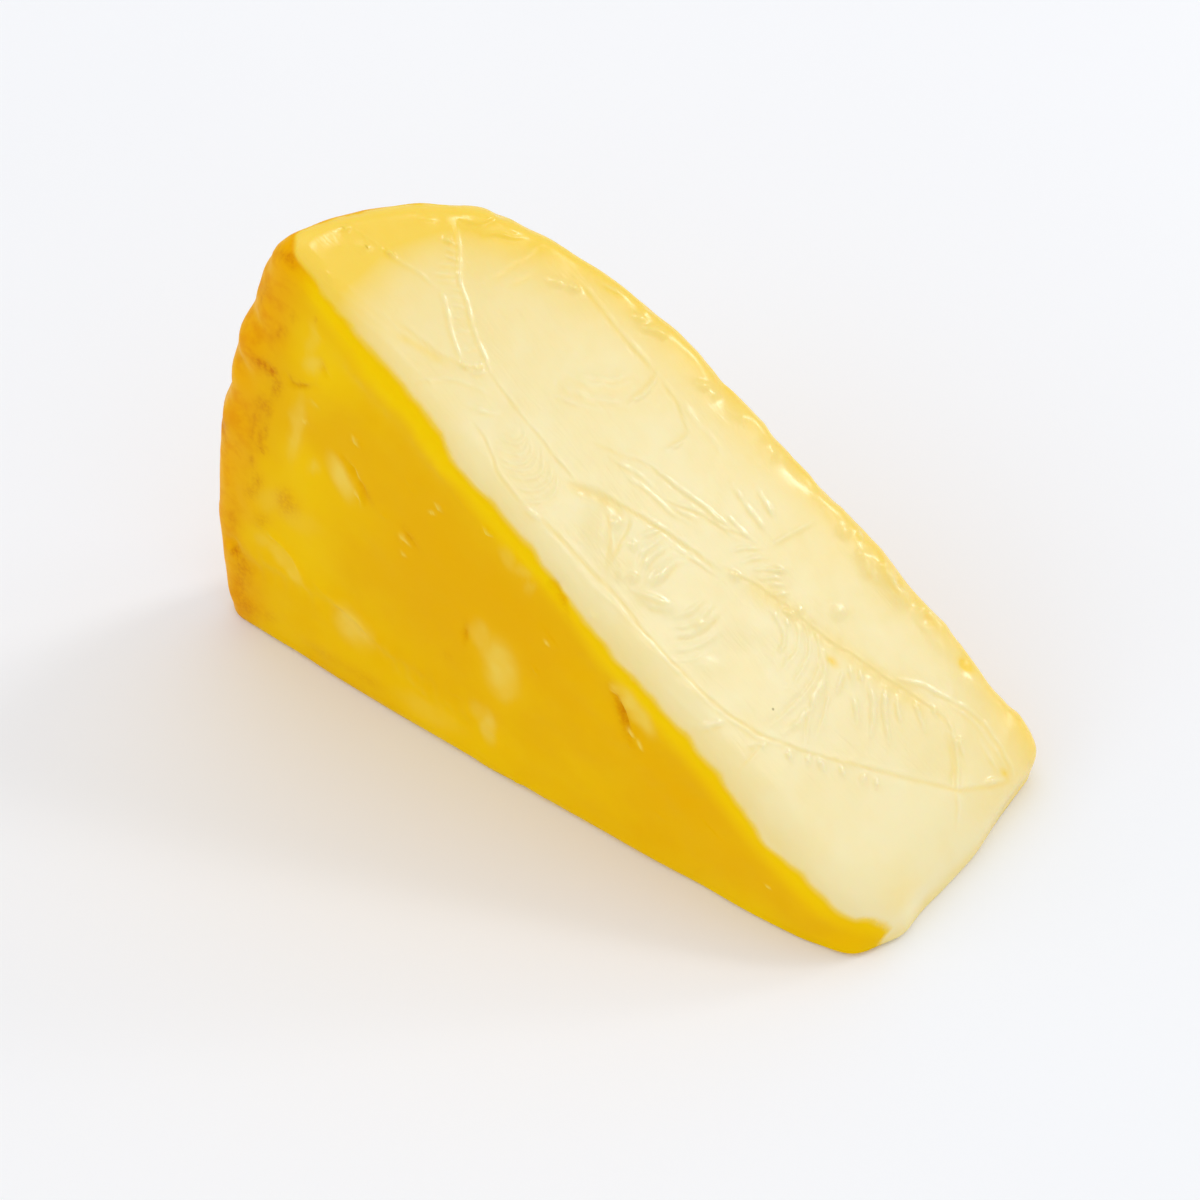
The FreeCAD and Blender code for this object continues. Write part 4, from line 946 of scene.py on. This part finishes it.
def wrinkles(tree, across, along):
    """Stretched noise that runs down the upper cut; across and along are the sizes of its cells in mm."""
    c = tree.nodes.new("ShaderNodeTexCoord")
    s = tree.nodes.new("ShaderNodeVectorMath")
    s.operation = "DOT_PRODUCT"
    tree.links.new(c.outputs["Object"], s.inputs[0])
    s.inputs[1].default_value = tuple(ALONG * 1000.0 / along)
    y = tree.nodes.new("ShaderNodeVectorMath")
    y.operation = "DOT_PRODUCT"
    tree.links.new(c.outputs["Object"], y.inputs[0])
    y.inputs[1].default_value = (0.0, 1000.0 / across, 0.0)
    both = tree.nodes.new("ShaderNodeCombineXYZ")
    tree.links.new(s.outputs["Value"], both.inputs[0])
    tree.links.new(y.outputs["Value"], both.inputs[1])
    n = tree.nodes.new("ShaderNodeTexNoise")
    n.inputs["Scale"].default_value = 1.0
    n.inputs["Detail"].default_value = 2.0
    n.inputs["Distortion"].default_value = 0.6
    tree.links.new(both.outputs[0], n.inputs["Vector"])
    return n.outputs["Fac"]


def math_node(tree, op, a, b=None, clamp=False):
    n = tree.nodes.new("ShaderNodeMath")
    n.operation = op
    n.use_clamp = clamp
    for i, v in enumerate([a, b]):
        if v is None:
            continue
        if isinstance(v, (int, float)):
            n.inputs[i].default_value = v
        else:
            tree.links.new(v, n.inputs[i])
    return n.outputs[0]


def fit(tree, value, a, b, c, d):
    n = tree.nodes.new("ShaderNodeMapRange")
    n.interpolation_type = "SMOOTHSTEP"
    tree.links.new(value, n.inputs["Value"])
    for key, v in zip(("From Min", "From Max", "To Min", "To Max"), (a, b, c, d)):
        n.inputs[key].default_value = v
    return n.outputs["Result"]


def blend(tree, fac, a, b, mode="MIX"):
    n = tree.nodes.new("ShaderNodeMix")
    n.data_type = "RGBA"
    n.blend_type = mode
    if isinstance(fac, (int, float)):
        n.inputs["Factor"].default_value = fac
    else:
        tree.links.new(fac, n.inputs["Factor"])
    for key, v in ((6, a), (7, b)):
        if isinstance(v, tuple):
            n.inputs[key].default_value = (*v, 1.0)
        else:
            tree.links.new(v, n.inputs[key])
    return n.outputs[2]


PASTE = (0.895, 0.785, 0.44)
PASTE_DEEP = (0.895, 0.76, 0.385)
EDGE_YELLOW = (0.92, 0.64, 0.06)
HALO = (0.90, 0.63, 0.06)
SKIN = (0.87, 0.505, 0.0008)
SKIN_DEEP = (0.85, 0.47, 0.0006)
AMBER_SKIN = (0.845, 0.445, 0.0006)
LEMON = (0.95, 0.63, 0.0008)
# paler cream for the painted sheen patches and the painted highlights on ridge tops
SHEEN_CREAM = (0.93, 0.85, 0.62)
RIM = (0.86, 0.42, 0.0008)
RIM_DEEP = (0.81, 0.34, 0.0006)
BROWN_MARK = (0.64, 0.195, 0.001)
# also the colour of the painted glints on the nicks
PALE_PATCH_AND_GLINT = (0.90, 0.62, 0.08)


SPECK = (92.1, 12.9, 28.8)


def cheese_material(name, shine, rough_low, rough_high):
    mat, tree, bsdf = nodes_of(name)
    broad = grain(tree, 0.10, 3.0)
    mid = grain(tree, 0.35, 4.0, 0.6)
    fine = grain(tree, 1.6, 4.0, 0.6)
    paste = blend(tree, fit(tree, broad, 0.35, 0.65, 0, 1), PASTE, PASTE_DEEP)
    yellowing_shade_and_sheen = math_node(tree, "ADD", attr(tree, "yellowing_shade_and_sheen"), math_node(tree, "MULTIPLY", math_node(tree, "SUBTRACT", mid, 0.5), 0.05))
    # the paste's own yellowing near the skin and the painted crease shade turn it yellower; values below zero turn it
    # paler, a painted sheen and painted ridge highlight
    paste = blend(tree, math_node(tree, "MULTIPLY", yellowing_shade_and_sheen, 1.0, True), paste, EDGE_YELLOW)
    paste = blend(tree, math_node(tree, "MULTIPLY", yellowing_shade_and_sheen, -1.0, True), paste, SHEEN_CREAM)
    skin = blend(tree, fit(tree, broad, 0.36, 0.64, 0, 1), SKIN, SKIN_DEEP)
    amber = attr(tree, "amber")
    skin = blend(tree, math_node(tree, "MULTIPLY", amber, 0.9, True), skin, AMBER_SKIN)
    skin = blend(tree, math_node(tree, "MULTIPLY", amber, -0.8, True), skin, LEMON)
    lemon = math_node(tree, "MULTIPLY", attr(tree, "lemon"), 0.85)
    skin = blend(tree, lemon, skin, LEMON)
    rim_colour = blend(tree, fit(tree, mid, 0.40, 0.68, 0, 1), RIM, RIM_DEEP)
    skin = blend(tree, attr(tree, "rim"), skin, rim_colour)
    brown = math_node(tree, "MULTIPLY", attr(tree, "brown"), fit(tree, fine, 0.35, 0.64, 0.45, 1.1), True)
    skin = blend(tree, brown, skin, BROWN_MARK)
    # the pale patches are the skin's own; the nicks' pale marks are painted glints
    pale_and_glint = math_node(tree, "MULTIPLY", attr(tree, "pale_and_glint"), 0.95)
    skin = blend(tree, pale_and_glint, skin, PALE_PATCH_AND_GLINT)
    edge = attr(tree, "skin")
    there = math_node(tree, "MULTIPLY", edge, math_node(tree, "SUBTRACT", 1.0, edge))
    mask = math_node(tree, "ADD", edge, math_node(tree, "MULTIPLY", math_node(tree, "SUBTRACT", mid, 0.5), math_node(tree, "MULTIPLY", there, 0.8)))
    halo = blend(tree, fit(tree, mask, 0.02, 0.50, 0, 0.92), paste, HALO)
    colour = blend(tree, fit(tree, mask, 0.40, 0.95, 0, 1), halo, skin)
    # one speck of dirt on the upper cut
    c = tree.nodes.new("ShaderNodeTexCoord")
    away = tree.nodes.new("ShaderNodeVectorMath")
    away.operation = "DISTANCE"
    tree.links.new(c.outputs["Object"], away.inputs[0])
    away.inputs[1].default_value = tuple((np.array(SPECK) + SHIFT) / 1000.0)
    colour = blend(tree, fit(tree, away.outputs["Value"], 0.00010, 0.00030, 0.70, 0.0), colour, (0.26, 0.21, 0.09))
    tree.links.new(colour, bsdf.inputs["Base Color"])
    bsdf.inputs["Subsurface Weight"].default_value = 0.30
    bsdf.inputs["Subsurface Radius"].default_value = (1.0, 0.65, 0.25)
    bsdf.inputs["Subsurface Scale"].default_value = 0.0035
    bsdf.inputs["Specular IOR Level"].default_value = shine
    rough = fit(tree, mid, 0.30, 0.70, rough_low, rough_high)
    tree.links.new(rough, bsdf.inputs["Roughness"])
    bump = tree.nodes.new("ShaderNodeBump")
    bump.inputs["Strength"].default_value = 0.5
    bump.inputs["Distance"].default_value = 0.00012
    film = math_node(tree, "MULTIPLY", wrinkles(tree, 1.1, 5.0), fit(tree, broad, 0.42, 0.60, 0.1, 0.7))
    tree.links.new(math_node(tree, "ADD", math_node(tree, "MULTIPLY", mid, 0.25), math_node(tree, "ADD", film, math_node(tree, "MULTIPLY", fine, 0.08))), bump.inputs["Height"])
    tree.links.new(bump.outputs[0], bsdf.inputs["Normal"])
    return mat


cheese = bpy.data.objects.new("cheese_body", build_cheese())
bpy.context.scene.collection.objects.link(cheese)
cheese.data.materials.append(cheese_material("smoked_cheese", 0.50, 0.20, 0.26))
cheese.data.materials.append(cheese_material("smoked_skin", 0.02, 0.34, 0.50))
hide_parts("cheese_wedge")
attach(cheese, "root")


# ---------------------------------------------------------------- floor, light, camera
def floor():
    mesh = bpy.data.meshes.new("floor")
    n, half = 24, 3.0
    g = np.linspace(-half, half, n + 1)
    verts = [(x, y, 0.0) for y in g for x in g]
    quads = [(j * (n + 1) + i, j * (n + 1) + i + 1, (j + 1) * (n + 1) + i + 1, (j + 1) * (n + 1) + i) for j in range(n) for i in range(n)]
    mesh.from_pydata(verts, [], quads)
    obj = bpy.data.objects.new("floor", mesh)
    bpy.context.scene.collection.objects.link(obj)
    mat, tree, bsdf = nodes_of("pale_floor")
    cloud = grain(tree, 0.004, 3.0)
    tree.links.new(blend(tree, fit(tree, cloud, 0.3, 0.7, 0, 1), (0.895, 0.905, 0.93), (0.91, 0.92, 0.945)), bsdf.inputs["Base Color"])
    tree.links.new(fit(tree, cloud, 0.3, 0.7, 0.55, 0.65), bsdf.inputs["Roughness"])
    bsdf.inputs["Specular IOR Level"].default_value = 0.1
    mesh.materials.append(mat)
    return obj


def area(name, place, target, size, watts, colour=(1, 1, 1)):
    light = bpy.data.lights.new(name, "AREA")
    light.shape = "RECTANGLE"
    light.size, light.size_y = size
    light.energy = watts
    light.color = colour
    obj = bpy.data.objects.new(name, light)
    bpy.context.scene.collection.objects.link(obj)
    aim(obj, place, target)
    return obj


def aim(obj, place, target):
    from mathutils import Vector
    obj.location = place
    obj.rotation_euler = (Vector(target) - Vector(place)).to_track_quat("-Z", "Y").to_euler()


floor()
world = bpy.data.worlds.new("studio")
bpy.context.scene.world = world
world.use_nodes = True
world.node_tree.nodes["Background"].inputs[0].default_value = (0.985, 0.99, 1.0, 1.0)
world.node_tree.nodes["Background"].inputs[1].default_value = 0.80
area("sheen", (0.80, 0.72, 0.75), (0.01, 0.0, 0.03), (0.22, 0.22), 0.42)
area("glint", (0.60, 1.07, 0.60), (0.01, 0.0, 0.03), (0.20, 0.20), 1.6)
area("spark", (0.37, 0.64, 1.14), (0.01, 0.0, 0.03), (0.20, 0.20), 1.5)
area("top", (-0.3, 0.3, 1.4), (0, 0, 0.03), (1.0, 1.0), 1.5)
area("side", (1.3, -0.4, 0.25), (0.03, 0, 0.02), (1.0, 0.4), 0.7)
area("fill", (-1.0, -1.5, 1.0), (0, 0, 0.02), (1.8, 1.2), 5.5, (0.98, 0.99, 1.0))
bpy.context.scene.view_settings.view_transform = "Standard"
bpy.context.scene.view_settings.look = "None"

# the camera looks down on the upper cut and the base side, from 47 degrees up
TURN, TILT, AWAY = math.radians(36.34), math.radians(46.97), 0.5369
target = np.array([-0.01443, 0.01327, 0.0])
eye = target + AWAY * np.array([math.cos(TILT) * math.sin(TURN), -math.cos(TILT) * math.cos(TURN), math.sin(TILT)])
cam_data = bpy.data.cameras.new("camera")
cam_data.sensor_fit = "HORIZONTAL"
cam_data.sensor_width = 36.0
cam_data.lens = 102.0
cam_data.clip_start, cam_data.clip_end = 0.01, 20.0
cam = bpy.data.objects.new("camera", cam_data)
bpy.context.scene.collection.objects.link(cam)
aim(cam, tuple(eye), tuple(target))
bpy.context.scene.camera = cam

bpy.context.view_layer.update()
